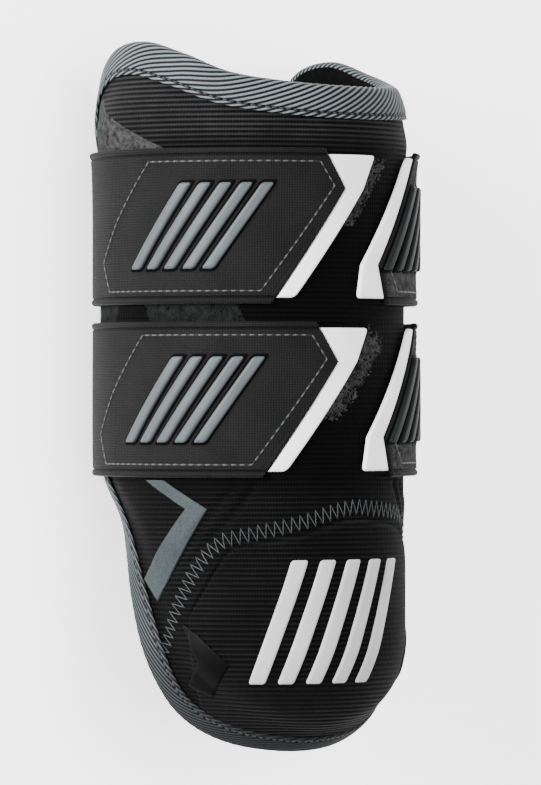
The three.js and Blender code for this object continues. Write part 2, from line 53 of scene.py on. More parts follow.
# %% [markdown]
# ## Where the guard is in the frame
# All shapes below are worked out in millimetres round the arm axis, and then moved by one shift. The two
# side stripes mirror each other, so the arm axis is halfway between them. The upper strap gives the place
# along it.

# %% Sizes of the guard
# lengths in mm and angles in degrees; a station is a distance along the arm from the sleeve's middle
LENGTH = 262.5
RADIUS = 54.1
EDGE_ANGLE = 137
STRAP_WIDTH = 54.2
STRAP_THICKNESS = 1.8
STRAP_SPACING = 6.1
LOWER_STRAP_STATION = -0.5
STRAP_BACK_GAP = 1.7
BACK_REACH = -RADIUS * math.cos(math.radians(EDGE_ANGLE)) + STRAP_BACK_GAP
UPPER_STRAP_STATION = LOWER_STRAP_STATION + STRAP_WIDTH + STRAP_SPACING

left_low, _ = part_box("side_stripe_left")
_, right_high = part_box("side_stripe_right")
strap_low, strap_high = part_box("strap_upper")
SHIFT = np.array([
    (left_low.x + right_high.x) / 2 / MM,
    (strap_low.y + strap_high.y) / 2 / MM - UPPER_STRAP_STATION,
    BACK_REACH + STRAP_THICKNESS,
])
print("Arm axis in the frame, mm:", SHIFT.round(2))

# %% [markdown]
# ## Camera
# The camera is fixed by the photograph: it looks straight across the arm, turned a third of a right angle to
# one side. A long lens from two metres away keeps the sleeve's sides parallel.

# %% Camera at the viewing angle of the photograph
CAMERA_TURN = math.radians(35)
CAMERA_DISTANCE = 2.0
FIELD_HEIGHT = 279.5 * MM
AIM_RIGHT = 6.6
AIM_UP = 1.96
camera_right = Vector((math.cos(CAMERA_TURN), 0, math.sin(CAMERA_TURN)))
camera_up = Vector((0, 1, 0))
towards_camera = camera_right.cross(camera_up)
aim = (Vector(SHIFT) + camera_right * AIM_RIGHT + camera_up * AIM_UP) * MM
camera_data = bpy.data.cameras.new("camera")
camera_data.lens = camera_data.sensor_width * CAMERA_DISTANCE / FIELD_HEIGHT
camera = bpy.data.objects.new("camera", camera_data)
axes = Matrix((camera_right, camera_up, towards_camera)).transposed().to_4x4()
camera.matrix_world = Matrix.Translation(aim + towards_camera * CAMERA_DISTANCE) @ axes
bpy.context.scene.collection.objects.link(camera)
bpy.context.scene.camera = camera
print("Lens in mm:", round(camera_data.lens, 1))

# %% [markdown]
# ## Colours and shader nodes
# Colours are written as the hex codes that a picture shows, and one function turns them into the linear
# numbers that light works with. A material is a small graph of nodes: one function adds a node, another
# starts the material, and a third ends it with the colour and the bump.

# %% Colours and nodes
def linear(hex_colour):
    """An sRGB hex colour as the linear colour that shaders use."""
    parts = [int(hex_colour[i:i + 2], 16) / 255 for i in (1, 3, 5)]
    return [c / 12.92 if c <= 0.04045 else ((c + 0.055) / 1.055) ** 2.4 for c in parts] + [1]


def node(tree, kind, links=None, out=0, **settings):
    """Adds one shader node and gives one output; links maps a socket to a value or to another output."""
    made = tree.nodes.new("ShaderNode" + kind)
    for key, value in settings.items():
        setattr(made, key, value)
    for socket, value in (links or {}).items():
        if isinstance(value, bpy.types.NodeSocket):
            tree.links.new(value, made.inputs[socket])
        else:
            made.inputs[socket].default_value = value
    return made.outputs[out]


def new_finish(name, roughness, **sockets):
    """A material with its shader's own numbers set; returns it with its tree and its shader."""
    material = bpy.data.materials.new(name)
    material.use_nodes = True
    tree = material.node_tree
    shader = tree.nodes["Principled BSDF"]
    shader.inputs["Roughness"].default_value = roughness
    for key, value in sockets.items():
        shader.inputs[key.replace("_", " ")].default_value = value
    return material, tree, shader


def dress(tree, shader, part, dark, light, relief, strength, depth):
    """Colour that goes from dark to light with part, and a bump from relief that is depth mm deep."""
    tone = node(tree, "Mix", {0: part, 6: linear(dark), 7: linear(light)}, out=2, data_type="RGBA")
    bump = node(tree, "Bump", {"Strength": strength, "Distance": depth * MM, "Height": relief})
    tree.links.new(tone, shader.inputs["Base Color"])
    tree.links.new(bump, shader.inputs["Normal"])


print("Mid grey in linear light:", round(linear("#808080")[0], 3))

# %% [markdown]
# ## Floor and lamps
# The photograph stands on lit white paper. So the floor is matt paper that glows a little, which also lights
# the guard's lower sides. Black cloth shows its form only by soft highlights: a big soft lamp low on the left
# lights its flank, a wide one above fills the front, and a weak one draws a rim down the right side.

# %% Floor and lamps
FLOOR_SIZE = 8.0
PAPER_GLOW = 1.2
ROOM_LIGHT = 1.1
# name, place in metres, side in metres, power in watts
LAMPS = [
    ("key_light", (-1.8, 0.6, 0.4), 1.2, 200),
    ("rim_light", (1.6, 0.15, 0.4), 0.8, 11),
    ("top_light", (-0.2, 0.2, 2.2), 1.6, 85),
]

paper, tree, shader = new_finish("lit_paper", 0.9, Emission_Color=linear("#ffffff"),
                                 Emission_Strength=PAPER_GLOW)
grain = node(tree, "TexNoise", {"Scale": 60.0})
tone = node(tree, "Mix", {0: grain, 6: linear("#f4f4f4"), 7: linear("#fbfbfb")}, out=2, data_type="RGBA")
tree.links.new(tone, shader.inputs["Base Color"])
floor_mesh = bpy.data.meshes.new("floor")
half_floor = FLOOR_SIZE / 2
floor_corners = [(-half_floor, -half_floor, 0), (half_floor, -half_floor, 0),
                 (half_floor, half_floor, 0), (-half_floor, half_floor, 0)]
floor_mesh.from_pydata(floor_corners, [], [(0, 1, 2, 3)])
floor_mesh.materials.append(paper)
floor = bpy.data.objects.new("floor", floor_mesh)
floor.location.z = -0.2 * MM
bpy.context.scene.collection.objects.link(floor)


def soft_lamp(name, place, size, power):
    """A square area lamp that faces the guard."""
    data = bpy.data.lights.new(name, "AREA")
    data.size = size
    data.energy = power
    lamp = bpy.data.objects.new(name, data)
    lamp.location = place
    lamp.rotation_euler = (aim - Vector(place)).to_track_quat("-Z", "Y").to_euler()
    bpy.context.scene.collection.objects.link(lamp)


for lamp_name, lamp_place, lamp_size, lamp_power in LAMPS:
    soft_lamp(lamp_name, lamp_place, lamp_size, lamp_power)
world = bpy.data.worlds.new("studio")
world.use_nodes = True
world.node_tree.nodes["Background"].inputs["Color"].default_value = linear("#ffffff")
world.node_tree.nodes["Background"].inputs["Strength"].default_value = ROOM_LIGHT
bpy.context.scene.world = world
print("Lamps:", len(LAMPS))

# %% [markdown]
# ## The curved surface that everything lies on
# Each place on the guard is an angle round the arm and a station along it, with a height over the surface.
# The tables hold the shape as shares of the length, the radius and the wrap, so a piece can be as fine as
# it needs to be and still lie on the plain solid that it replaces.

# %% Tables of the sleeve
SECTION_RADIUS = [(0.48, 0.952), (0.4305, 0.998), (0.3733, 1.035), (0.3048, 1.0055), (0.1143, 1),
                  (-0.099, 0.998), (-0.1829, 0.9686), (-0.259, 0.9445), (-0.5, 0.9445)]
SECTION_FORWARD = [(0.48, 0), (0.4305, 0), (0.3733, 0), (0.3048, 0), (0.1143, 0),
                   (-0.099, 0), (-0.1829, 0.0444), (-0.259, 0.085), (-0.5, 0.085)]
# angle, station, depth, spread of the angle, spread of the station
TUCKS = [(-0.861, -0.1752, 0.0869, 0.146, 0.061), (0.861, -0.1752, 0.0869, 0.146, 0.061),
         (0.423, 0.4457, 0.0518, 0.365, 0.0571)]
# angle and station of the fold line of the bound edge
OUTLINE = [
    (-1, -0.061), (-1, 0.137), (-1, 0.335), (-0.9635, 0.4114), (-0.8248, 0.4629), (-0.6277, 0.4762),
    (-0.4599, 0.4571), (-0.3212, 0.4324), (-0.146, 0.419), (0.0146, 0.4152), (0.1898, 0.4164),
    (0.438, 0.4248), (0.6277, 0.4438), (0.7883, 0.464), (0.9197, 0.4495), (0.9854, 0.4), (1, 0.3276),
    (1, 0.137), (1, -0.061), (0.9708, -0.1029), (0.9051, -0.1333), (0.8467, -0.1638), (0.7701, -0.2057),
    (0.7263, -0.2667), (0.6569, -0.3429), (0.5985, -0.4152), (0.5109, -0.4686), (0.3066, -0.5086),
    (0, -0.5238), (-0.3066, -0.5086), (-0.5109, -0.4686), (-0.5985, -0.4152), (-0.6569, -0.3429),
    (-0.7263, -0.2667), (-0.7701, -0.2057), (-0.8467, -0.1638), (-0.9051, -0.1333), (-0.9708, -0.1029),
]
EAR_CORNER = 0.4038
CUP_CORNER = -0.4267
# angle and station of the seam between sleeve and elbow cup
SEAM = [(-0.6642, -0.4267), (-0.5547, -0.3253), (-0.4818, -0.259), (-0.4234, -0.219), (-0.3577, -0.1912),
        (-0.2774, -0.181), (-0.1241, -0.1646), (0.0146, -0.1467), (0.0876, -0.1459), (0.3212, -0.1619),
        (0.4161, -0.2019), (0.4964, -0.259), (0.5693, -0.3253), (0.6788, -0.4267)]
SEAM_GAP = 0.05
print("Places on the bound edge:", len(OUTLINE), "and on the seam:", len(SEAM))

# %% [markdown]
# ## Reading a table
# Between the measured places the value follows a smooth curve, as cloth over foam does. Straight pieces would
# leave a crease at every row of the table.


# %% Read a table smoothly
def along(rows, x):
    """Smooth value of a table of (key, value) rows at x, level at both ends."""
    keys, values = np.array(sorted(rows), dtype=float).T
    slopes = np.zeros(len(keys))
    slopes[1:-1] = (values[2:] - values[:-2]) / (keys[2:] - keys[:-2])
    x = np.clip(x, keys[0], keys[-1])
    i = np.clip(np.searchsorted(keys, x, side="right") - 1, 0, len(keys) - 2)
    span = keys[i + 1] - keys[i]
    t = (x - keys[i]) / span
    start = (2 * t**3 - 3 * t**2 + 1) * values[i] + (t**3 - 2 * t**2 + t) * span * slopes[i]
    return start + (3 * t**2 - 2 * t**3) * values[i + 1] + (t**3 - t**2) * span * slopes[i + 1]


def smooth_step(x, low, high):
    """0 below low, 1 above high and an S between them."""
    t = np.clip((x - low) / (high - low), 0, 1)
    return t * t * (3 - 2 * t)


def run_length(points):
    """Distance from the first point to each point of a bent line."""
    return np.concatenate([[0], np.cumsum(np.linalg.norm(np.diff(points, axis=0), axis=1))])


print("Radius at the middle in mm:", round(float(along(SECTION_RADIUS, 0)) * RADIUS, 1))

# %% [markdown]
# ## From an angle and a station to a point
# The sleeve is bent like an open pipe, and the cup curls inwards at its end. One function bends every flat
# place the same way, so cover, tape, stitches and ribs stay together.

# %% A point over the panel
CUP_CURL_ANGLE = 70
CUP_CURL_RADIUS = 44
CURL_START = min(row[1] for row in OUTLINE) * LENGTH + CUP_CURL_RADIUS * math.radians(CUP_CURL_ANGLE)


def curl_at(station):
    """How far the cup has curled inwards at a station, in radians."""
    return np.maximum(0, (CURL_START - station) / CUP_CURL_RADIUS)


def radius_at(station):
    """Radius of the outside at a station."""
    drawn_in = CUP_CURL_RADIUS * (1 - np.cos(curl_at(station)))
    return along(SECTION_RADIUS, station / LENGTH) * RADIUS - drawn_in


def on_panel(angle, station, height):
    """Point at a height over the outside of the sleeve or the cup."""
    angle, station, height = np.broadcast_arrays(*(np.asarray(v, float) for v in (angle, station, height)))
    curl = curl_at(station)
    tuck = 0
    for a, s, depth, wide, tall in TUCKS:
        off_centre = ((angle / EDGE_ANGLE - a) / wide) ** 2 + ((station / LENGTH - s) / tall) ** 2
        tuck = tuck + depth * RADIUS * np.exp(-off_centre)
    reach = radius_at(station) - tuck + height * np.cos(curl)
    y = np.where(curl > 0, CURL_START - CUP_CURL_RADIUS * np.sin(curl), station) - height * np.sin(curl)
    forward = along(SECTION_FORWARD, station / LENGTH) * RADIUS
    turn = np.radians(angle)
    return np.stack([reach * np.sin(turn), y, forward + reach * np.cos(turn)], axis=-1)


print("The cup curls below station:", round(CURL_START, 1))

# %% [markdown]
# ## The bound edge
# The edge of the guard is one closed line. It is drawn as a smooth curve through its measured places and cut
# into even steps, because the rings of the tape need even steps. At each step the inward direction is kept,
# and anything that follows the edge is set in from it.

# %% The bound edge as one smooth loop
EDGE_SAMPLES = 480


def edge_loop():
    """Evenly spaced places on the fold line, with the inward direction over the surface at each."""
    corners = np.array([(math.radians(a * EDGE_ANGLE) * radius_at(s * LENGTH), s * LENGTH)
                        for a, s in OUTLINE])
    fine = []
    t = np.linspace(0, 1, 60, endpoint=False)[:, None]
    for k in range(len(corners)):
        p0, p1, p2, p3 = (corners[(k + d) % len(corners)] for d in (-1, 0, 1, 2))
        d0, d1, d2 = (np.linalg.norm(b - a) ** 0.5 for a, b in ((p0, p1), (p1, p2), (p2, p3)))
        leave = ((p1 - p0) / d0 - (p2 - p0) / (d0 + d1) + (p2 - p1) / d1) * d1
        arrive = ((p2 - p1) / d1 - (p3 - p1) / (d1 + d2) + (p3 - p2) / d2) * d1
        cubic = (-3 * p1 + 3 * p2 - 2 * leave - arrive) * t**2 + (2 * p1 - 2 * p2 + leave + arrive) * t**3
        fine.append(p1 + leave * t + cubic)
    fine = np.vstack(fine + [corners[:1]])
    lengths = run_length(fine)
    even = np.arange(EDGE_SAMPLES) / EDGE_SAMPLES * lengths[-1]
    x, y = (np.interp(even, lengths, fine[:, k]) for k in (0, 1))
    run = np.stack([np.roll(x, -1) - np.roll(x, 1), np.roll(y, -1) - np.roll(y, 1)], axis=1)
    run /= np.linalg.norm(run, axis=1)[:, None]
    return x, y, run[:, 1], -run[:, 0], lengths[-1]


edge_x, edge_y, in_x, in_y, edge_length = edge_loop()
print("Bound edge in mm:", round(edge_length))


def from_edge(share, inset):
    """Angle and station at a share of the way round the edge, moved in from the fold line."""
    x, y, ix, iy = (np.interp(share % 1, np.arange(EDGE_SAMPLES + 1) / EDGE_SAMPLES, np.append(c, c[0]))
                    for c in (edge_x, edge_y, in_x, in_y))
    return np.degrees((x + ix * inset) / radius_at(y)), y + iy * inset


def to_edge(angle, station):
    """Distance over the surface to the fold line."""
    x = np.radians(angle) * radius_at(station)
    near = [np.hypot(edge_x[:, None] - a, edge_y[:, None] - b).min(axis=0)
            for a, b in zip(np.array_split(x.ravel(), 40), np.array_split(np.ravel(station), 40))]
    return np.concatenate(near).reshape(x.shape)


def edge_share_at(station, side):
    """Share of the way round where the edge passes a station, on the left or the right."""
    miss = np.abs(edge_y - station) + np.where(np.sign(edge_x) == side, 0, 1000)
    return miss.argmin() / EDGE_SAMPLES


# %% [markdown]
# ## Relief of the foam
# Foam between two layers of cloth is thin where it is bound or welded, and full elsewhere. So the surface
# sinks under the tape, rises on the cup's plate and dips in the welded lines beside the stripes. This is
# worked out as a height, because moulded foam has a form of its own and no folds that gravity would make.

# %% Height of the padded surface, with its pressed lines
TAPE_WIDTH = 11.5
EDGE_SINK = 1.6
EDGE_MARGIN = 2.4
SOFT_SLOPE = 10
PLATE_RISE = 0.85
PLATE_SOFTNESS = 0.9
# angle and station of the top edge of the raised plate on the cup
PLATE_EDGE = [(-0.50, -0.325), (-0.473, -0.298), (-0.33, -0.2055), (-0.25, -0.1955), (-0.12, -0.1835),
              (0.0146, -0.1655), (0.0876, -0.165), (0.28, -0.18), (0.36, -0.205), (0.473, -0.29),
              (0.50, -0.32)]
PLATE_SIDE_ANGLE = 0.46
PLATE_GROOVE_DEPTH = 0.7
PLATE_GROOVE_WIDTH = 1.1
PLATE_GROOVE_FADE = 2
CREASE_DEPTH = 1.1
CREASE_WIDTH = 1.4
# angles and stations of the pressed lines beside the stripe
CREASES = [[(-0.30, -0.115), (-0.365, -0.1467), (-0.545, -0.2442)],
           [(-0.245, -0.115), (-0.315, -0.1560), (-0.455, -0.2160)]]


def line_distance(x, y, line):
    """Distance in mm from places to a bent line given as angles and stations."""
    points = [(math.radians(a * EDGE_ANGLE) * RADIUS, s * LENGTH) for a, s in line]
    best = np.full(np.shape(x), 1e9)
    for (ax, ay), (bx, by) in zip(points, points[1:]):
        along_line = ((x - ax) * (bx - ax) + (y - ay) * (by - ay)) / ((bx - ax) ** 2 + (by - ay) ** 2)
        t = np.clip(along_line, 0, 1)
        best = np.minimum(best, np.hypot(x - ax - t * (bx - ax), y - ay - t * (by - ay)))
    return best


def pad_height(angle, station):
    """Height of the outer face: sunk under the tape, with the cup's plate and the pressed lines."""
    angle, station = np.broadcast_arrays(np.asarray(angle, float), np.asarray(station, float))
    flat_rim = TAPE_WIDTH + EDGE_MARGIN / 2
    sunk = EDGE_SINK * (1 - smooth_step(to_edge(angle, station), flat_rim, flat_rim + SOFT_SLOPE))
    plate_top = along(PLATE_EDGE, angle / EDGE_ANGLE) * LENGTH
    plate = smooth_step(plate_top - station, -PLATE_SOFTNESS, PLATE_SOFTNESS)
    groove = np.exp(-(((plate_top - station + PLATE_GROOVE_WIDTH) / PLATE_GROOVE_WIDTH) ** 2))
    side_gap = (PLATE_SIDE_ANGLE - np.abs(angle) / EDGE_ANGLE) * math.radians(EDGE_ANGLE) * RADIUS
    groove = groove * smooth_step(side_gap, -PLATE_GROOVE_FADE, PLATE_GROOVE_FADE)
    plate *= smooth_step(side_gap, -PLATE_SOFTNESS, PLATE_SOFTNESS)
    x = np.radians(angle) * RADIUS
    pressed = PLATE_GROOVE_DEPTH * groove
    for crease in CREASES:
        for side in (1, -1):
            near = line_distance(side * x, station, crease)
            pressed = pressed + CREASE_DEPTH * np.exp(-((near / CREASE_WIDTH) ** 2))
    return PLATE_RISE * plate - sunk - pressed


print("Height of the cup's plate in mm:", pad_height([0], [-90]).round(2))

# %% [markdown]
# ## Straps
# A strap is a closed loop of elastic: it lies round the guard and runs flat across the open back, where the
# guard rests on it. Its two shaped ends are tabs with a point, the right one turned half round.

# %% A point over a strap
STRAP_STANDOFF = 2.6
STRAP_CORNER_BLEND = 2.4
TAB_GAP = 20
TAB_SLANT = 28
TAB_CENTRE_ANGLE = 9.4
# turn from the front as a share of half a turn, clearance as a share of the stand-off
STRAP_CLEARANCE = [(-1, 0.46), (-0.761, 0.5), (-0.678, 0.31), (-0.6, 0.173), (0.044, 0.173), (0.167, 0.46),
                   (0.311, 1), (0.5, 0.85), (0.678, 0.385), (0.761, 0.5), (1, 0.46)]
# name, middle station, half the gap between its ends as a share of TAB_GAP
STRAPS = [("lower", LOWER_STRAP_STATION, 0.57), ("upper", UPPER_STRAP_STATION, 0.42)]
# rise as a share of the width, set-back as a share of TAB_SLANT, trim width as a share of TIP_WIDTH
TAB_SHAPE = {-1: [(-0.5, 1, 0.78), (0.2435, 0, 1), (0.5, 0.314, 2.78)],
             1: [(-0.5, 1, 0.78), (0.2435, 0, 1), (0.5, 0.143, 1.76)]}
SIDES = {-1: "left", 1: "right"}
# the strap's long edges stand off a little on both sides of the arm: how far in mm, and where in degrees
FLARE = 1.5
FLARE_ANGLE = 84
FLARE_SPREAD = 24


def strap_degrees(length):
    """Degrees round the arm for a length along a strap."""
    return math.degrees(1) * length / (RADIUS + STRAP_THICKNESS)


def on_strap(angle, station, height):
    """Point at a height over the inside of a strap; the angle may run past half a turn."""
    angle, station, height = np.broadcast_arrays(*(np.asarray(v, float) for v in (angle, station, height)))
    turn = (angle + 180) % 360 - 180
    round_reach = radius_at(station) + along(STRAP_CLEARANCE, turn / 180) * STRAP_STANDOFF + height
    facing = -np.cos(np.radians(turn))
    flat = (BACK_REACH + height) / np.maximum(facing, 0.1)
    blend = np.maximum(STRAP_CORNER_BLEND - np.abs(round_reach - flat), 0) / STRAP_CORNER_BLEND
    joined = np.minimum(round_reach, flat) - blend**2 * STRAP_CORNER_BLEND / 4
    reach = np.where(facing <= 0.1, round_reach, joined)
    return np.stack([reach * np.sin(np.radians(turn)), station, reach * np.cos(np.radians(turn))], axis=-1)


def tab_value(side, rise, column):
    """One column of the tab's table at a height above the middle of the strap."""
    rows = np.array(TAB_SHAPE[side])
    return np.interp(-side * rise / STRAP_WIDTH, rows[:, 0], rows[:, column])


def tab_end(half_gap, side, rise):
    """Angle at which a tab ends at a height above the middle of the strap."""
    set_back = half_gap * TAB_GAP + tab_value(side, rise, 1) * TAB_SLANT
    return TAB_CENTRE_ANGLE + side * strap_degrees(set_back)


print("Degrees round the arm for 10 mm of strap:", round(strap_degrees(10), 2))

# %% [markdown]
# ## Making meshes from grids
# Cloth is easiest to shape as a grid, because its threads run both ways. Every piece also keeps where each of
# its points lies on the flat cloth, so that weaves and ribs can be drawn at their real size.

# %% A mesh piece
CLOTH = "cloth"
SHARP_ANGLE = math.radians(48)


def make_piece(name, points, faces, cloth, finishes, slots=None):
    """A mesh piece from points in mm, faces, cloth places for each face corner and materials."""
    points = points + SHIFT
    # nothing dips below the floor
    points[:, 2] = np.maximum(points[:, 2], 0)
    mesh = bpy.data.meshes.new(name)
    mesh.from_pydata((points * MM).tolist(), [], faces.tolist())
    layer = mesh.uv_layers.new(name=CLOTH)
    layer.data.foreach_set("uv", np.asarray(cloth, np.float32).ravel())
    for finish in finishes:
        mesh.materials.append(finish)
    if slots is not None:
        mesh.polygons.foreach_set("material_index", slots)
    mesh.shade_smooth()
    mesh.set_sharp_from_angle(angle=SHARP_ANGLE)
    mesh.validate()
    piece = bpy.data.objects.new(name, mesh)
    bpy.context.scene.collection.objects.link(piece)
    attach(piece, "root")
    return piece


print("Sharp from an angle of", round(math.degrees(SHARP_ANGLE)), "degrees")

# %% [markdown]
# ## Skins from two grids
# Sheet goods have two faces and an edge. So one grid gives the outside, another the inside, and walls join
# them round the rim. Where the edge has to be round, the rows near the rim lie close together.


# %% Skins from two grids
def cells(rows, columns):
    """Corner numbers of every cell of a grid of points."""
    first = (np.arange(rows - 1)[:, None] * columns + np.arange(columns - 1)).ravel()
    return np.stack([first, first + 1, first + columns + 1, first + columns], axis=1)


def grid_piece(name, outer, inner, cloth, outside, inside=None, patch=None):
    """A closed skin from two grids of points; cloth gives each grid point's place on the flat cloth.
    Cells of the outside where patch is true take the inside's material."""
    rows, columns = outer.shape[:2]
    count = rows * columns
    top = cells(rows, columns)
    corner = np.arange(count).reshape(rows, columns)
    rim = np.concatenate([corner[0, :-1], corner[:-1, -1], corner[-1, :0:-1], corner[:0:-1, 0]])
    following = np.roll(rim, -1)
    walls = np.stack([rim, rim + count, following + count, following], axis=1)
    faces = np.vstack([top, top[:, ::-1] + count, walls])
    points = np.vstack([outer.reshape(-1, 3), inner.reshape(-1, 3)])
    a, b, c = (points[faces[len(top) // 2, k]] for k in (0, 1, 2))
    outward = (outer - inner).reshape(-1, 3)[top[len(top) // 2, 0]]
    if np.dot(np.cross(b - a, c - b), outward) < 0:
        faces = faces[:, ::-1]
    places = np.vstack([cloth.reshape(-1, 2)] * 2)[faces]
    slots = np.zeros(len(faces), int)
    if inside and patch is None:
        slots[len(top):2 * len(top)] = 1
    if patch is not None:
        slots[:len(top)] = patch.ravel()
    return make_piece(name, points, faces, places, [outside, inside] if inside else [outside], slots)


def soft_steps(count, run, near):
    """Steps from 0 to 1 with extra ones at the given distances from both ends of the run, in mm."""
    close = np.array(near) / run
    middle = np.linspace(close[-1], 1 - close[-1], count)
    return np.concatenate([[0], close[:-1], middle, 1 - close[:-1][::-1], [1]])


def rounded(distance, radius):
    """0 to 1 over a quarter circle as the distance from an edge grows to the radius."""
    t = np.clip(distance / radius, 0, 1)
    return np.sqrt(1 - (1 - t) ** 2)


def cloth_of(angle, station):
    """Place on the flat cloth in metres: round the arm and along it."""
    angle, station = np.broadcast_arrays(angle, station)
    return np.stack([np.radians(angle) * RADIUS, station], axis=-1) * MM


def sheet(name, surface, angle, station, top, bottom, outside, inside=None):
    """A closed skin between two heights over the sleeve or over a strap."""
    return grid_piece(name, surface(angle, station, top), surface(angle, station, bottom),
                      cloth_of(angle, station), outside, inside)


print("Faces in a grid of 3 by 4 points:", len(cells(3, 4)))

# %% [markdown]
# ## Rib-knit polyester
# The cover is a polyester knit laminated on foam, with fine ribs that run round the arm. Dull yarn is almost
# free of highlights, so the eye sees the tops of the ribs as light lines and the valleys as black ones; the
# colour paints this as a painted highlight on each rib top and painted shade in each valley. The ribs are
# low, so they are a bump, worked out from their spacing. Real loops along a rib are about 0.5 mm wide. They
# are drawn 1.1 mm wide, because finer ones would not show. Painted shade also makes the knit near black where
# the straps lie, and darker below them than above.

# %% Rib-knit polyester
RIB_SPACING = 1.75
LOOP_SPACING = 1.1
# painted shade: the knit is near black where the straps lie, and lighter above them than below
ZONE_TOP = UPPER_STRAP_STATION + STRAP_WIDTH / 2 - 2
ZONE_BOTTOM = LOWER_STRAP_STATION - STRAP_WIDTH / 2
ZONE_FADE = 9
STRAP_ZONE_SHADE = 0.03
BELOW_STRAPS_SHADE = 0.25


def ripple(tree, place, spacing):
    """A wave from -1 to 1 along one coordinate; its crests are spacing mm apart."""
    turn = node(tree, "Math", {0: place, 1: math.tau / (spacing * MM)}, operation="MULTIPLY")
    return node(tree, "Math", {0: turn}, operation="SINE")


def rib_knit(name, dark, light):
    """Knit with ribs round the arm: matt, soft sheen, painted light on each rib top, painted shade by the
    straps.
    """
    material, tree, shader = new_finish(name, 0.8, Specular_IOR_Level=0.03, Sheen_Weight=0.012,
                                        Sheen_Roughness=0.3)
    places = node(tree, "UVMap", uv_map=CLOTH)
    split = node(tree, "SeparateXYZ", {0: places}).node
    loop = ripple(tree, split.outputs[0], LOOP_SPACING)
    rib = ripple(tree, split.outputs[1], RIB_SPACING)
    fuzz = node(tree, "TexNoise", {"Vector": places, "Scale": 900.0, "Detail": 3.0})
    patch = node(tree, "TexNoise", {"Vector": places, "Scale": 45.0, "Detail": 2.0})
    knit = node(tree, "Math", {0: loop, 1: 0.16, 2: rib}, operation="MULTIPLY_ADD")
    height = node(tree, "Math", {0: fuzz, 1: 0.7, 2: knit}, operation="MULTIPLY_ADD")
    # painted light: the colour is lighter on the rib tops and darker in the valleys
    top = node(tree, "MapRange", {0: height, 1: -0.6, 2: 1.5})
    lit = node(tree, "Math", {0: top, 1: patch}, operation="MULTIPLY")
    # painted shade: near black where the straps lie, and darker below them than above
    above = node(tree, "MapRange", {0: split.outputs[1], 1: ZONE_TOP * MM, 2: (ZONE_TOP + ZONE_FADE) * MM,
                                    3: STRAP_ZONE_SHADE})
    below = node(tree, "MapRange", {0: split.outputs[1], 1: (ZONE_BOTTOM - ZONE_FADE) * MM,
                                    2: ZONE_BOTTOM * MM, 3: BELOW_STRAPS_SHADE, 4: STRAP_ZONE_SHADE})
    zone = node(tree, "Math", {0: above, 1: below}, operation="MAXIMUM")
    knit_light_and_shade = node(tree, "Math", {0: lit, 1: zone}, operation="MULTIPLY")
    dress(tree, shader, knit_light_and_shade, dark, light, height, 1.0, 0.3)
    return material


cover_knit = rib_knit("rib_knit_polyester", "#010101", "#2c2c2d")
print("Ribs on the cover:", round(LENGTH / RIB_SPACING))

# %% [markdown]
# ## Brushed lining and loop fabric
# The inside is brushed jersey, and the straps grip on brushed loop fabric. Both are a short pile of nylon or
# polyester that scatters light so evenly that no highlight shows, only a mottle of darker and lighter tufts.
# Real tufts are about 0.2 mm wide. They are drawn about half a millimetre wide, because finer ones would not
# show.


# %% Brushed lining and loop fabric
def brushed_cloth(name, dark, light, spacing):
    """Short brushed pile: mottled, very matt, with a soft sheen."""
    material, tree, shader = new_finish(name, 0.92, Specular_IOR_Level=0.03, Sheen_Weight=0.006,
                                        Sheen_Roughness=0.4)
    places = node(tree, "TexCoord", out="Object")
    fine = node(tree, "TexNoise", {"Vector": places, "Scale": 1 / (spacing * MM), "Detail": 4.0})
    wide = node(tree, "TexNoise", {"Vector": places, "Scale": 0.22 / (spacing * MM), "Detail": 3.0})
    mottle = node(tree, "Math", {0: fine, 1: wide}, operation="ADD")
    part = node(tree, "MapRange", {0: mottle, 1: 0.72, 2: 1.3})
    dress(tree, shader, part, dark, light, mottle, 0.8, 0.35)
    return material


lining = brushed_cloth("brushed_lining", "#020202", "#060707", 0.6)
loop_pile = brushed_cloth("loop_pile", "#040404", "#323232", 0.5)
# painted shade: a darker copy of the loop fabric for the zones between the straps
shaded_loop_pile = brushed_cloth("shaded_loop_pile", "#030303", "#131414", 0.5)
loop_face = brushed_cloth("loop_face", "#040404", "#363636", 0.5)
print("Brushed cloths:", [cloth.name for cloth in (lining, loop_pile, shaded_loop_pile, loop_face)])

# %% [markdown]
# ## Patches between four sides
# The sleeve and the cup are two foam panels that meet at a seam. Each is a patch between four sides, taken
# from the bound edge and the seam, so both panels meet the tape and each other exactly.


# %% Sides of a patch
def edge_run(start, end, inset):
    """Part of the bound edge as a side of a patch."""
    return lambda u: np.stack(from_edge(start + (end - start) * u, inset), axis=-1)


def seam_at(angle):
    """Station of the seam at an angle."""
    return along(SEAM, angle / EDGE_ANGLE) * LENGTH


def seam_end(side):
    """Share of the way round, and angle, where the seam meets the edge."""
    shares = np.arange(EDGE_SAMPLES) / EDGE_SAMPLES
    angle, station = from_edge(shares, PANEL_INSET)
    miss = np.abs(seam_at(angle) - station) + np.where((np.sign(angle) == side) & (station < 0), 0, 1000)
    return shares[miss.argmin()], angle[miss.argmin()]


TAPE_THICKNESS = 1
TAPE_GAP = 0.64
PANEL_INSET = TAPE_THICKNESS + TAPE_GAP
ear_left, ear_right = (edge_share_at(EAR_CORNER * LENGTH, side) for side in (-1, 1))
cup_left, cup_right = (edge_share_at(CUP_CORNER * LENGTH, side) for side in (-1, 1))
(seam_left, seam_left_angle), (seam_right, seam_right_angle) = seam_end(-1), seam_end(1)
if ear_left < seam_left:
    ear_left += 1


def seam_run(shift):
    """The seam as a side of a patch, moved along the arm."""
    def run(u):
        angle = seam_left_angle + (seam_right_angle - seam_left_angle) * u
        return np.stack([angle, seam_at(angle) + shift], axis=-1)
    return run


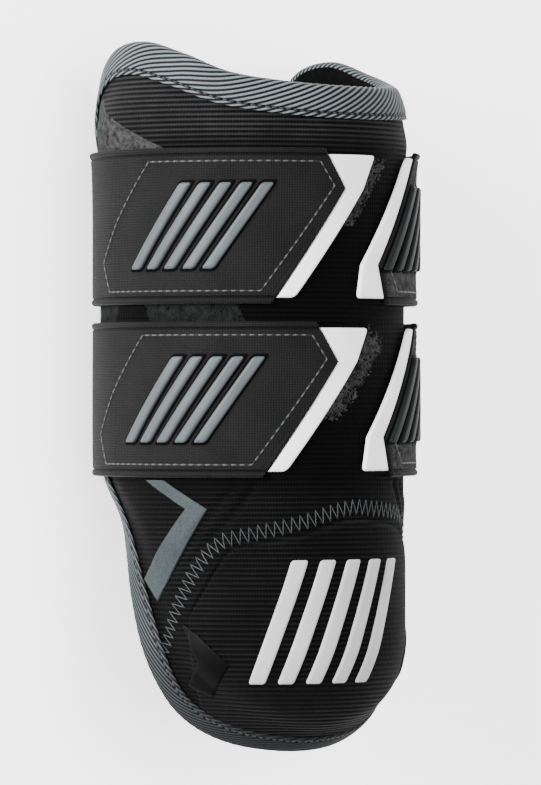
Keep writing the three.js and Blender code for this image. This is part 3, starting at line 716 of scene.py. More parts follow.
def in_patch(left, right, top, bottom, s, t):
    """Places inside four sides; the left and right sides bend to meet the other two."""
    s, t = s[None, :, None], t[:, None, None]
    low, high = bottom(s[..., 0]), top(s[..., 0])
    ends = np.array([0.0, 1.0])
    low_ends, high_ends, left_ends, right_ends = bottom(ends), top(ends), left(ends), right(ends)

    def bent(side, side_ends, k):
        fit = (1 - t) * (low_ends[k] - side_ends[0]) + t * (high_ends[k] - side_ends[1])
        return side(t[..., 0]) + fit

    edges = (1 - t) * low + t * high + (1 - s) * bent(left, left_ends, 0) + s * bent(right, right_ends, 1)
    left_corners = (1 - t) * low_ends[0] + t * high_ends[0]
    right_corners = (1 - t) * low_ends[1] + t * high_ends[1]
    place = edges - ((1 - s) * left_corners + s * right_corners)
    return place[..., 0], place[..., 1]


print("The seam meets the edge at degrees:", round(seam_left_angle), round(seam_right_angle))

# %% [markdown]
# ## Cover and cup
# Each panel is knit outside, lining inside and foam between. Where the tape holds it, the outside sinks and
# the inside comes up to meet it. So both skins are worked out from the same height of the foam.


# %% Cover and cup
PANEL_THICKNESS = 6


def padded_panel(name, sides, columns, rows):
    """A foam panel between four sides, sunk and thinned where the tape holds it."""
    angle, station = in_patch(*sides, np.linspace(0, 1, columns), np.linspace(0, 1, rows))
    height = pad_height(angle, station)
    under = np.minimum(-PANEL_THICKNESS - np.minimum(height, 0), height - 1)
    piece = sheet(name, on_panel, angle, station, height, under, cover_knit, lining)
    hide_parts("cover_panel" if name == "cover" else "elbow_cup")
    print(name, "faces:", len(piece.data.polygons))


padded_panel("cover", (
    edge_run(seam_left, ear_left, PANEL_INSET), edge_run(seam_right, ear_right, PANEL_INSET),
    edge_run(ear_left - 1, ear_right, PANEL_INSET), seam_run(SEAM_GAP / 2)), 240, 170)
padded_panel("cup", (
    edge_run(cup_left, seam_left, PANEL_INSET), edge_run(cup_right, seam_right, PANEL_INSET),
    seam_run(-SEAM_GAP / 2), edge_run(cup_left, cup_right, PANEL_INSET)), 240, 120)

# %% [markdown]
# ## Inner pad
# The inner pad is a soft foam slab that swells a little between its edges. It starts from the plain slab,
# is blown up as cloth with a small pressure, and is capped so that it keeps its place behind the cover.

# %% Inner pad blown up as cloth
TAPE_INSIDE_WIDTH = 8
LINER_THICKNESS = 3
LINER_GAP = 0.55
LINER_MARGIN = 7
LINER_COLUMNS = 58
LINER_ROWS = 56
# the swell in mm, and the pressure and the frames of the simulation that lead to it
LINER_SWELL = 1.9
SWELL_PRESSURE = 4
SWELL_FRAMES = 20


def liner_pad():
    """The slab of the inner pad before it swells, with the rim and the outer face as the held group."""
    inset = TAPE_INSIDE_WIDTH + LINER_MARGIN
    angle, station = in_patch(edge_run(cup_left, ear_left, inset), edge_run(cup_right, ear_right, inset),
                              edge_run(ear_left - 1, ear_right, inset), edge_run(cup_left, cup_right, inset),
                              np.linspace(0, 1, LINER_COLUMNS), np.linspace(0, 1, LINER_ROWS))
    near = np.minimum(*np.meshgrid(*(np.minimum(np.arange(n), n - 1 - np.arange(n))
                                     for n in (LINER_COLUMNS, LINER_ROWS))))
    thin = LINER_THICKNESS * (0.45 + 0.55 * rounded(near, 2))
    base = -PANEL_THICKNESS - LINER_GAP
    piece = sheet("inner_pad", on_panel, angle, station, base, base - thin, lining)
    held = piece.vertex_groups.new(name="held")
    rim = np.concatenate([np.full(near.size, True), (near < 1).ravel()])
    held.add(np.flatnonzero(rim).tolist(), 1.0, "REPLACE")
    return piece


inner_pad = liner_pad()
rest = np.empty(len(inner_pad.data.vertices) * 3)
inner_pad.data.vertices.foreach_get("co", rest)
swell = inner_pad.modifiers.new("swell", "CLOTH")
swell.settings.use_pressure = True
swell.settings.uniform_pressure_force = SWELL_PRESSURE
swell.settings.vertex_group_mass = "held"
swell.settings.effector_weights.gravity = 0
for step in range(1, SWELL_FRAMES + 1):
    bpy.context.scene.frame_set(step)
shaped = inner_pad.evaluated_get(bpy.context.evaluated_depsgraph_get()).to_mesh()
blown = np.empty(len(rest))
shaped.vertices.foreach_get("co", blown)
inner_pad.modifiers.remove(swell)
bpy.context.scene.frame_set(1)
move = (blown - rest).reshape(-1, 3)
far = np.linalg.norm(move, axis=1, keepdims=True) / MM
capped = rest.reshape(-1, 3) + move * np.tanh(far / LINER_SWELL) * LINER_SWELL / np.maximum(far, 1e-6)
inner_pad.data.vertices.foreach_set("co", capped.ravel())
print("Swell of the inner pad in mm:", round(float(far.max()), 2), "capped at", LINER_SWELL)
soften = inner_pad.modifiers.new("soften", "SUBSURF")
soften.levels = soften.render_levels = 1
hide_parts("liner_pad")

# %% [markdown]
# ## Binding tape
# A twill tape is folded over the edge all the way round. Its ridges cross it at a slant, flatter round the
# cup, and they are thick enough to see, so they are real ridges in the mesh. The cloth place holds the ridge
# count itself, which lets the colour follow the same ridges, as a painted highlight on each ridge and painted
# shade between them.

# %% Twill tape
TWILL_TOP_SPACING = 1.6
TWILL_CUP_SPACING = 1.3
TWILL_TOP_SLANT = math.radians(27)
TWILL_TOP_TURN = math.radians(17)
TWILL_CUP_SLANT = math.radians(15)
TWILL_RELIEF = 0.3
SEAM_ROW_INSET = 9.9
SEAM_ROW_DEPTH = 0.55
TAPE_RINGS = 1480
# how far the twill reaches over the fold before the lining takes over
TWILL_FRONT_WIDTH = 3.2


def off_line(tree, place, line, near, far):
    """0 within near mm of a line across one coordinate, 1 from far mm on."""
    offset = node(tree, "Math", {0: place, 1: line * MM}, operation="SUBTRACT")
    distance = node(tree, "Math", {0: offset}, operation="ABSOLUTE")
    return node(tree, "MapRange", {0: distance, 1: near * MM, 2: far * MM})


def twill(name, groove, ridge):
    """Twill tape: matt polyester; painted light on ridges, painted shade in grooves, seam row and cup end."""
    material, tree, shader = new_finish(name, 0.66, Specular_IOR_Level=0.07, Sheen_Weight=0.01)
    places = node(tree, "UVMap", uv_map=CLOTH)
    split = node(tree, "SeparateXYZ", {0: places}).node
    turn = node(tree, "Math", {0: split.outputs[0], 1: math.tau}, operation="MULTIPLY")
    wave = node(tree, "Math", {0: turn}, operation="COSINE")
    body = node(tree, "TexCoord", out="Object")
    yarn = node(tree, "TexNoise", {"Vector": body, "Scale": 1500.0, "Detail": 2.0})
    wide = node(tree, "TexNoise", {"Vector": body, "Scale": 40.0, "Detail": 2.0})
    place = node(tree, "SeparateXYZ", {0: body}).node
    # painted shade: the tape is darker towards the end of the cup
    cup_shade = node(tree, "MapRange", {0: place.outputs[1], 1: -0.118, 2: -0.02, 3: 0.12})
    lifted = node(tree, "Math", {0: yarn, 1: 0.8, 2: wave}, operation="MULTIPLY_ADD")
    # painted light: the colour is lighter on the ridges and darker between them
    part = node(tree, "MapRange", {0: lifted, 1: -0.1, 2: 1.4})
    worn = node(tree, "MapRange", {0: wide, 1: 0.3, 2: 0.7, 3: 0.8})
    shade = node(tree, "Math", {0: cup_shade, 1: worn}, operation="MULTIPLY")
    # painted shade: the tape is dark along the groove of the seam row
    seam_row_shade = off_line(tree, split.outputs[1], SEAM_ROW_INSET, 0.25, 0.6)
    seen = node(tree, "Math", {0: part, 1: seam_row_shade}, operation="MULTIPLY")
    lit = node(tree, "Math", {0: seen, 1: shade}, operation="MULTIPLY")
    dress(tree, shader, lit, groove, ridge, yarn, 0.5, 0.12)
    return material


tape_twill = twill("polyester_twill_tape", "#020303", "#545b5e")
print("Ridges per 10 mm of tape at the top:", round(10 / TWILL_TOP_SPACING, 1))

# %% [markdown]
# ## Folding the tape
# The tape is swept along the bound edge: one profile, folded over the rim, is repeated in rings. A modifier
# could sweep it too, but the ridges and the drawn-in seam row need the mesh itself to follow the weave.


# %% Fold the tape over the edge
def cut_corners(points):
    """One round of corner cutting on an open bent line."""
    a, b = points[:-1], points[1:]
    cut = np.stack([a * 0.75 + b * 0.25, a * 0.25 + b * 0.75], axis=1).reshape(-1, 2)
    return np.vstack([points[:1], cut, points[-1:]])


TAPE_TOP = -EDGE_SINK + TAPE_GAP
TAPE_UNDER = -PANEL_THICKNESS + EDGE_SINK - TAPE_GAP


def tape_profile():
    """Inset and height of the tape's outside from its outer lip to its inner lip, and of its inside."""
    thick = TAPE_THICKNESS
    bulge = (TAPE_TOP - TAPE_UNDER) / 4
    bent = np.array([
        (TAPE_WIDTH, TAPE_TOP), (TAPE_WIDTH + 0.15, TAPE_TOP + 0.5 * thick),
        (TAPE_WIDTH - 0.3, TAPE_TOP + 0.95 * thick), (2.6 * thick, TAPE_TOP + 0.92 * thick),
        (0.7 * thick, TAPE_TOP + 0.4 * thick), (0, TAPE_TOP - bulge), (0, TAPE_UNDER + bulge),
        (0.7 * thick, TAPE_UNDER - 0.4 * thick), (2.6 * thick, TAPE_UNDER - 0.92 * thick),
        (TAPE_INSIDE_WIDTH - 0.3, TAPE_UNDER - 0.95 * thick),
        (TAPE_INSIDE_WIDTH + 0.15, TAPE_UNDER - 0.5 * thick), (TAPE_INSIDE_WIDTH, TAPE_UNDER)])
    bent = cut_corners(cut_corners(bent))
    length = run_length(bent)
    outside_end = length[np.abs(bent[:, 1] - (TAPE_TOP + TAPE_UNDER) / 2).argmin()]
    stops = np.concatenate([np.linspace(0, outside_end, 46), np.linspace(outside_end, length[-1], 16)[1:]])
    skin = np.stack([np.interp(stops, length, bent[:, k]) for k in (0, 1)], axis=1)
    inside = np.array([(thick, TAPE_UNDER), (thick, (TAPE_TOP + TAPE_UNDER) / 2), (thick, TAPE_TOP)])
    return skin, outside_end - stops, inside


def edge_binding():
    """The bound edge as rings round the tape, one after another along the edge."""
    skin, inward, inside = tape_profile()
    share = (np.arange(TAPE_RINGS) / TAPE_RINGS)[:, None]
    station = from_edge(share, 0)[1]
    upper = smooth_step(station / LENGTH, -0.12, 0.2)
    top_slant = TWILL_TOP_SLANT + TWILL_TOP_TURN * from_edge(share, 0)[0] / EDGE_ANGLE
    slant = TWILL_CUP_SLANT + (top_slant - TWILL_CUP_SLANT) * upper
    spacing = TWILL_CUP_SPACING + (TWILL_TOP_SPACING - TWILL_CUP_SPACING) * upper
    count = np.cumsum(np.sin(slant) / spacing) * edge_length / TAPE_RINGS
    count = (count * round(count[-1]) / count[-1])[:, None]
    ridge = count + inward * np.cos(slant) / spacing
    tangent = np.gradient(skin, axis=0)
    tangent /= np.linalg.norm(tangent, axis=1)[:, None]
    lift = TWILL_RELIEF * (0.5 + 0.5 * np.cos(math.tau * ridge)) - TWILL_RELIEF / 2
    lift = lift - SEAM_ROW_DEPTH * np.exp(-(((skin[:, 0] - SEAM_ROW_INSET) / 0.4) ** 2))
    lift = lift * smooth_step(inward, -TWILL_FRONT_WIDTH - 1, -TWILL_FRONT_WIDTH)
    lift = lift * rounded(np.minimum(np.arange(len(skin)), np.arange(len(skin))[::-1]), 3)
    inset = skin[:, 0] + lift * tangent[:, 1]
    height = skin[:, 1] - lift * tangent[:, 0]
    ones = np.ones_like(share)
    inset = np.hstack([inset, ones * inside[:, 0]])
    height = np.hstack([height, ones * inside[:, 1]])
    ridge = np.hstack([ridge, ridge[:, -1:], ridge[:, -1:], ridge[:, -1:]])
    across = np.concatenate([skin[:, 0], [0] * 3])
    angle, place = from_edge(share, inset)
    rings = on_panel(angle, place, height)
    size = inset.shape[1]
    ring, corner = np.meshgrid(np.arange(TAPE_RINGS), np.arange(size), indexing="ij")
    next_ring, next_corner = (ring + 1) % TAPE_RINGS, (corner + 1) % size
    faces = np.stack([ring * size + corner, next_ring * size + corner,
                      next_ring * size + next_corner, ring * size + next_corner], axis=-1).reshape(-1, 4)
    turns = np.vstack([ridge, ridge[:1] + count[-1]])
    turns = np.hstack([turns, turns[:, -1:]])
    flat = np.stack([turns, np.broadcast_to(np.append(across, across[-1]) * MM, turns.shape)], axis=-1)
    places = np.stack([flat[:-1, :-1], flat[1:, :-1], flat[1:, 1:], flat[:-1, 1:]], axis=2)
    lined = np.broadcast_to(np.append(inward, [0, 0, 0]) < -TWILL_FRONT_WIDTH, ring.shape).astype(int)
    piece = make_piece("binding_tape", rings.reshape(-1, 3), faces, places, [tape_twill, lining],
                       lined.ravel())
    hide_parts("edge_binding")
    return piece


binding = edge_binding()
print("Binding faces:", len(binding.data.polygons))

# %% [markdown]
# ## Threads
# The seams are sewn with twisted polyester thread. Stitches catch the light one by one, so each is modelled,
# as a short capsule laid along a line and pressed a little into the cloth. The twist of the plies is too fine
# to model, so it is a slanting bump.


# %% Sewing thread
PLY_WIDTH = 0.3


def sewing_thread(name, colour, glint="#3c3f40"):
    """Twisted polyester thread: satin, with its two plies as a slanting bump and a painted glint."""
    material, tree, shader = new_finish(name, 0.55, Specular_IOR_Level=0.2, Sheen_Weight=0.03)
    places = node(tree, "TexCoord", out="Object")
    plies = node(tree, "TexWave", {"Vector": places, "Scale": 0.1 / (PLY_WIDTH * MM), "Distortion": 1.5},
                 out=1, bands_direction="DIAGONAL")
    part = node(tree, "Math", {0: plies, 1: 0.3}, operation="MULTIPLY")
    dress(tree, shader, part, colour, glint, plies, 0.5, 0.08)
    return material


grey_thread = sewing_thread("grey_polyester_thread", "#181c1d")
pale_thread = sewing_thread("pale_polyester_thread", "#292b2c")
dark_thread = sewing_thread("dark_polyester_thread", "#0c0e0f")
# painted shade: a near-black thread that stands for the shaded groove between the tab's stitches
groove_shade_thread = sewing_thread("black_groove_shade_thread", "#010101", "#020202")

print("Threads:", [thread.name for thread in (grey_thread, pale_thread, dark_thread, groove_shade_thread)])

# %% [markdown]
# ## Thread as tubes
# A thread is a thin tube with six corners, and a stitch is a short tube that narrows at its ends, where it
# dives into the cloth. All the stitches of a row are one piece, because thousands of objects would be slow.

# %% Tubes and rows of stitches
RING_CORNERS = 6
# two faces close each end of a six-sided thread
CAP_CORNERS = [(0, 1, 2, 3), (0, 3, 4, 5)]
DASH_PROFILE = [(0.0, 0.25), (0.12, 0.8), (0.5, 1.0), (0.88, 0.8), (1.0, 0.25)]


def unit(vectors):
    """Vectors made one long."""
    return vectors / np.maximum(np.linalg.norm(vectors, axis=-1, keepdims=True), 1e-9)


def tubes(name, centres, normals, radii, finish):
    """Tubes through rows of centres, each with its surface normals and radii in mm."""
    runs = unit(np.gradient(centres, axis=1))
    sideways = unit(np.cross(runs, normals))
    turn = np.arange(RING_CORNERS) / RING_CORNERS * math.tau
    ring = (sideways[:, :, None] * np.cos(turn)[:, None] + normals[:, :, None] * np.sin(turn)[:, None] * 0.8)
    points = centres[:, :, None] + ring * radii[..., None, None]
    amount, stops = centres.shape[:2]
    first = (np.arange(amount)[:, None] * stops + np.arange(stops - 1)) * RING_CORNERS
    corner = np.arange(RING_CORNERS)
    following = (corner + 1) % RING_CORNERS
    a, b = first[..., None] + corner, first[..., None] + following
    sides = np.stack([a, b, b + RING_CORNERS, a + RING_CORNERS], axis=-1).reshape(-1, 4)
    start = np.arange(amount)[:, None, None] * stops * RING_CORNERS + np.array(CAP_CORNERS)
    caps = [start.reshape(-1, 4), (start + (stops - 1) * RING_CORNERS).reshape(-1, 4)[:, ::-1]]
    faces = np.vstack([sides[:, ::-1], *caps])
    cloth = np.zeros((len(faces), 4, 2))
    cloth[..., 0] = np.array([0, 0, 1, 1]) * MM
    return make_piece(name, points.reshape(-1, 3), faces, cloth, [finish])


def even_line(points, values):
    """Length along a line of points, and a function that reads the values at any length."""
    length = run_length(points)
    return length, lambda d: np.stack([np.interp(d, length, v) for v in values], axis=0)


def stitch_row(name, surface, angle, station, height, finish, pitch=3.0, length=2.0, thread=0.32):
    """A row of stitches along a line on a surface."""
    points = surface(angle, station, height)
    run, at = even_line(points, (angle, station, np.broadcast_to(height, angle.shape)))
    starts = np.arange(0, run[-1] - length, pitch)[:, None]
    profile = np.array(DASH_PROFILE)
    a, s, h = at(starts + profile[:, 0] * length)
    centres = surface(a, s, h)
    normals = unit(surface(a, s, h + 0.5) - centres)
    radii = np.broadcast_to(profile[:, 1] * thread, centres.shape[:2])
    return tubes(name, centres, normals, radii, finish)


print("Places along a stitch:", len(DASH_PROFILE))

# %% [markdown]
# ## Tape seam and zigzag
# One row of stitches holds the tape down all the way round, in the groove that it draws into the tape. A
# zigzag thread closes the butt seam between sleeve and cup, as it lets the elbow bend.

# %% Stitches round the tape, and the zigzag
ZIGZAG_WIDTH = 5.4
ZIGZAG_PITCH = 3.05
ZIGZAG_THREAD = 0.18
ZIGZAG_LIFT = 0.22
# degrees that the zigzag keeps from the bound edge
ZIGZAG_MARGIN = 1.5
round_shares = np.linspace(0, 1, 1400)
row_angle, row_station = from_edge(round_shares, SEAM_ROW_INSET)
row_height = np.full(len(row_angle), TAPE_TOP + 0.72 * TAPE_THICKNESS)
tape_stitches = stitch_row("tape_stitches", on_panel, row_angle, row_station, row_height, dark_thread,
                           2.5, 1.6, 0.3)


def zigzag():
    """The thread that crosses the seam from side to side."""
    angle = np.linspace(seam_left_angle + ZIGZAG_MARGIN, seam_right_angle - ZIGZAG_MARGIN, 900)
    station = seam_at(angle)
    length, at = even_line(on_panel(angle, station, 0), (angle, station))
    swings = int(length[-1] / ZIGZAG_PITCH)
    steps = np.linspace(0, swings, swings * 12 + 1)
    side = 2 * np.abs(2 * (steps % 1) - 1) - 1
    a, s = at(steps * ZIGZAG_PITCH)
    x, y = np.radians(a) * RADIUS, s
    run = unit(np.stack([np.gradient(x), np.gradient(y)], axis=-1))
    off = side * ZIGZAG_WIDTH / 2
    a, s = np.degrees((x - run[:, 1] * off) / RADIUS), y + run[:, 0] * off
    lift = pad_height(a, s) + ZIGZAG_LIFT
    centres = on_panel(a, s, lift)
    normals = unit(on_panel(a, s, lift + 0.5) - centres)
    radii = np.full((1, len(a)), ZIGZAG_THREAD)
    return tubes("zigzag_thread", centres[None], normals[None], radii, grey_thread)


zigzag_thread = zigzag()
print("Zigzag faces:", len(zigzag_thread.data.polygons))

# %% [markdown]
# ## Woven elastic straps
# The straps are woven elastic with a rolled hem along both long edges. The hem, the round of the edge and
# the pressed line of the seam are in the mesh, and the weave is a bump and a tone: a painted highlight on the
# raised yarn and painted shade between. Its real cells are about 0.5 mm wide. They are drawn 0.9 mm wide,
# because finer ones would not show. Painted shade also darkens the groove beside each hem.

# %% Woven elastic
WEAVE_CELL = 0.9
HEM_WIDTH = 2.1
FOLD_LINE = STRAP_WIDTH / 2 - HEM_WIDTH - 0.25


def woven_elastic(name, dark, light):
    """Plain-woven elastic: a fine grid, matt with a slight sheen from the light; painted light and shade on
    its weave.
    """
    material, tree, shader = new_finish(name, 0.75, Specular_IOR_Level=0.06, Sheen_Weight=0.05,
                                        Sheen_Roughness=0.2)
    places = node(tree, "UVMap", uv_map=CLOTH)
    split = node(tree, "SeparateXYZ", {0: places}).node
    warp, weft = (ripple(tree, split.outputs[k], WEAVE_CELL) for k in (0, 1))
    lower = node(tree, "Math", {0: warp, 1: weft}, operation="MINIMUM")
    fuzz = node(tree, "TexNoise", {"Vector": places, "Scale": 1300.0, "Detail": 3.0})
    wide = node(tree, "TexNoise", {"Vector": places, "Scale": 60.0, "Detail": 3.0})
    height = node(tree, "Math", {0: fuzz, 1: 1.1, 2: lower}, operation="MULTIPLY_ADD")
    # painted light: the colour is lighter on the raised yarn and darker between
    part = node(tree, "MapRange", {0: height, 1: -1.5, 2: 2.0})
    lit = node(tree, "Math", {0: part, 1: wide}, operation="MULTIPLY")
    # painted shade: dark along the groove beside each hem
    off_middle = node(tree, "Math", {0: split.outputs[1]}, operation="ABSOLUTE")
    hem_line_shade = off_line(tree, off_middle, FOLD_LINE, 0.25, 0.75)
    kept = node(tree, "Math", {0: lit, 1: hem_line_shade}, operation="MULTIPLY")
    dress(tree, shader, kept, dark, light, height, 0.55, 0.16)
    return material


strap_elastic = woven_elastic("woven_elastic", "#030303", "#1a1a1b")
print("Weave cells across a strap:", round(STRAP_WIDTH / WEAVE_CELL))

# %% [markdown]
# ## Strap bands
# Each strap is one band that starts at its left tab, runs round the back and ends at its right tab. It is
# built as an outer and an inner skin on one grid. The grid is fine near the hems, where the form changes
# within a millimetre, and coarse along the back. The face of the right tab is loop fabric inside its hems.

# %% Strap bands
TAB_RIM = 1.6
LOOP_FACE_LENGTH = 72
# rise and spread of the hem, of the groove beside it and of the pressed line along the end, in mm
HEM_RISE = 0.3
HEM_SPREAD = 0.75
GROOVE_DEPTH = 0.4
GROOVE_SPREAD = 0.3
PRESS_DEPTH = 0.12
PRESS_INSET = 1.9
PRESS_SPREAD = 0.5
BAND_ROUND = 0.9
TAB_COLUMNS = 34
BACK_COLUMNS = 170
POINT_RISE = 0.2435 * STRAP_WIDTH
END_SLOPE = 0.83


def strap_rises():
    """Heights across the strap, close together at the hems and with a row at each tab point."""
    half = STRAP_WIDTH / 2
    hem = half - np.array([0, 0.12, 0.35, 0.7, 1.05, 1.4, 1.75, 2.0, 2.2, 2.45, 2.8, 3.4])
    middle = np.linspace(-half + 4.4, half - 4.4, 34)
    return np.unique(np.concatenate([-hem, middle, hem, [-POINT_RISE, POINT_RISE]]).round(4))


def strap_band(name, middle, half_gap):
    """A strap from the end of its left tab round the back to the end of its right tab."""
    rise = strap_rises()[:, None]
    tab = strap_degrees(half_gap * TAB_GAP + TAB_SLANT + 3)
    left, right = TAB_CENTRE_ANGLE - tab, TAB_CENTRE_ANGLE + tab - 360
    step = np.linspace(0, 1, TAB_COLUMNS, endpoint=False) ** 1.6
    left_end = tab_end(half_gap, -1, rise)
    right_end = tab_end(half_gap, 1, rise) - 360
    back = np.broadcast_to(np.linspace(left, right, BACK_COLUMNS), (len(rise), BACK_COLUMNS))
    left_tab = left_end + (left - left_end) * step
    right_tab = right_end + (right - right_end) * step
    angle = np.hstack([left_tab, back, right_tab[:, ::-1]])
    end_gap = np.minimum(left_end - angle, angle - right_end) / strap_degrees(1) * END_SLOPE
    side_gap = STRAP_WIDTH / 2 - np.abs(rise)
    edge = np.minimum(end_gap, side_gap)
    hem = HEM_RISE * np.exp(-(((side_gap - HEM_WIDTH / 2) / HEM_SPREAD) ** 2))
    groove = GROOVE_DEPTH * np.exp(-(((side_gap - HEM_WIDTH - 0.25) / GROOVE_SPREAD) ** 2))
    press = PRESS_DEPTH * np.exp(-(((end_gap - PRESS_INSET) / PRESS_SPREAD) ** 2))
    half_thick = STRAP_THICKNESS / 2 * (0.3 + 0.7 * rounded(edge, BAND_ROUND))
    turn = (angle + 180) % 360 - 180
    flare = FLARE * np.exp(-((side_gap / 5) ** 2)) * np.exp(-(((turn - FLARE_ANGLE) / FLARE_SPREAD) ** 2))
    lift = STRAP_THICKNESS / 2 + flare
    station = middle + rise
    outer = on_strap(angle, station, lift + half_thick + hem - groove - press)
    inner = on_strap(angle, station, lift - half_thick)
    back = (angle - right) / strap_degrees(1)
    face = (end_gap > TAB_RIM) & (side_gap > HEM_WIDTH + 0.6) & (back < LOOP_FACE_LENGTH)
    face = face[:-1, :-1] & face[1:, 1:]
    piece = grid_piece(f"strap_{name}_band", outer, inner, cloth_of(angle, rise), strap_elastic, loop_face,
                       face)
    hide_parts(f"strap_{name}")
    print(piece.name, "faces:", len(piece.data.polygons))


for strap in STRAPS:
    strap_band(*strap)

# %% [markdown]
# ## Border of the tabs
# A pale thread runs round each tab and holds it on the strap. Between two stitches the groove lies in shade,
# so each border is a row of pale capsules over a thin dark thread that is painted shade.

# %% Stitched border of each tab
# distance back from the tab's point and rise above the strap's middle, in mm
TAB_BORDER = [(10.5, 22.4), (4.9, 14.0), (31.7, -22.6), (95.6, -22.6), (100.6, -12.5), (90.7, 1.4),
              (73.2, 22.4), (10.5, 22.4)]
GROOVE_SHADE_THREAD = 0.26
TABS = [(name, middle, half_gap, side) for name, middle, half_gap in STRAPS for side in SIDES]


def tab_stitches(name, middle, half_gap, side):
    """The border sewn on a tab."""
    corners = np.array(TAB_BORDER)
    length = run_length(corners)
    steps = np.linspace(0, length[-1], 500)
    back, rise = (np.interp(steps, length, corners[:, k]) for k in (0, 1))
    angle = TAB_CENTRE_ANGLE + side * strap_degrees(half_gap * TAB_GAP + back)
    station = middle - side * rise
    piece = stitch_row(f"tab_stitches_{name}_{SIDES[side]}", on_strap, angle, station,
                       STRAP_THICKNESS + 0.12, pale_thread, 3.05, 1.9, 0.32)
    # painted shade: a thin near-black thread along the groove under the stitches
    centres = on_strap(angle, station, STRAP_THICKNESS - 0.02)[None]
    normals = unit(on_strap(angle, station, STRAP_THICKNESS + 0.5)[None] - centres)
    radii = np.full((1, len(angle)), GROOVE_SHADE_THREAD)
    groove_shade = tubes(f"tab_groove_shade_{name}_{SIDES[side]}", centres, normals, radii, groove_shade_thread)


for tab in TABS:
    tab_stitches(*tab)
print("Tab borders:", len(TABS), "each", round(run_length(np.array(TAB_BORDER))[-1]), "mm round")

# %% [markdown]
# ## Moulded rubber: end trims and grip ribs
# The tabs end in white trims and carry grey ribs, and the cup carries pale ones. All are soft moulded rubber
# with rounded edges. Smooth rubber shows its shape through the light that rolls over its rounded rim, so its
# finish is plain: an even colour, a satin shine and a very fine grain. The printed film is made the same way.


# %% Moulded rubber and printed film
def moulded_rubber(name, colour, shade, roughness, shine, speckle=0.0):
    """Soft moulded rubber: even colour, satin, with a very fine grain from the mould."""
    material, tree, shader = new_finish(name, roughness, IOR=1.5, Specular_IOR_Level=shine)
    places = node(tree, "TexCoord", out="Object")
    grain = node(tree, "TexNoise", {"Vector": places, "Scale": 1600.0, "Detail": 2.0})
    wide = node(tree, "TexNoise", {"Vector": places, "Scale": 70.0, "Detail": 3.0})
    dots = node(tree, "MapRange", {0: grain, 1: 0.4, 2: 0.6, 3: -speckle, 4: speckle})
    part = node(tree, "Math", {0: wide, 1: dots}, operation="ADD", use_clamp=True)
    dress(tree, shader, part, shade, colour, grain, 0.2, 0.06)
    return material


white_rubber = moulded_rubber("white_moulded_rubber", "#d4d4d4", "#bfbfc0", 0.45, 0.3)
cup_rubber = moulded_rubber("pale_moulded_rubber", "#939394", "#838384", 0.45, 0.2)
grey_rubber = moulded_rubber("grey_moulded_rubber", "#3a4042", "#2b3032", 0.45, 0.16)
dark_rubber = moulded_rubber("dark_moulded_rubber", "#121415", "#0b0d0d", 0.55, 0.06)
black_rubber = moulded_rubber("black_moulded_rubber", "#020202", "#010101", 0.7, 0.02)
gloss_film = moulded_rubber("black_gloss_film", "#020202", "#010101", 0.45, 0.04)
stripe_film = moulded_rubber("matt_stripe_film", "#2c3234", "#1b2022", 0.65, 0.08, 0.22)
print("Finishes so far:", len(bpy.data.materials))

# %% [markdown]
# ## End trims
# A white trim is moulded along the slanted end of each tab. It is a strip between the tab's end line and the
# same line set back by the trim's width, so it keeps to the shape of the tab. Its far corners are rounded,
# by drawing the strip's side in near them.

# %% End trims
TIP_WIDTH = 8.5
TIP_THICKNESS = 1.3
TIP_GAP = 0.3
TIP_EDGE_INSET = 2.1
TIP_CORNER = 1.7


def tab_tip(name, middle, half_gap, side):
    """The white trim along the end of a tab, with its far corners rounded."""
    half = STRAP_WIDTH / 2 - TIP_EDGE_INSET
    t = soft_steps(44, 2 * half, [0.1, 0.3, 0.6, 1.0, 1.4, 1.8])
    rise = (t * 2 - 1) * half
    point = -side * POINT_RISE
    rise[np.abs(rise - point).argmin()] = point
    rise = rise[:, None]
    end_gap = half - np.abs(rise)
    pull = TIP_CORNER * (1 - rounded(end_gap, TIP_CORNER))
    width = tab_value(side, rise, 2) * TIP_WIDTH - pull
    s = soft_steps(9, TIP_WIDTH, [0.1, 0.3, 0.6, 0.95])
    near = tab_end(half_gap, side, rise) - side * strap_degrees(TIP_GAP)
    angle = near - side * strap_degrees(1) * width * s
    edge = np.minimum(np.minimum(s, 1 - s) * width * END_SLOPE, end_gap)
    top = TIP_THICKNESS * (0.3 + 0.7 * rounded(edge, 0.85))
    piece = sheet(f"end_trim_{name}_{SIDES[side]}", on_strap, angle, middle + rise, top, 0, white_rubber)
    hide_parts(f"strap_tip_{name}_{SIDES[side]}")


for tab in TABS:
    tab_tip(*tab)
print("End trims:", len(TABS))

# %% [markdown]
# ## Grip ribs
# Raised ribs give the fingers a hold on the tabs. Each is a leaning bar with a rounded top, built as a small
# grid whose rows lie close together at the rim, where the light rolls over. A thin dark surround shows where
# the rib is pressed into the strap.

# %% Grip ribs
RIB_COUNT = 5
RIB_LIFT = 1.3
RIB_GAP = 0.3
RIB_ROUND = 1.1
SURROUND_MARGIN = 0.9
SURROUND_RISE = 0.22
TAB_RIB = {"width": 4.4, "pitch": 7.2, "height": STRAP_WIDTH - 2 * 12.1, "lean": 35}
TAB_RIB_SETBACK = {-1: 54, 1: 28}


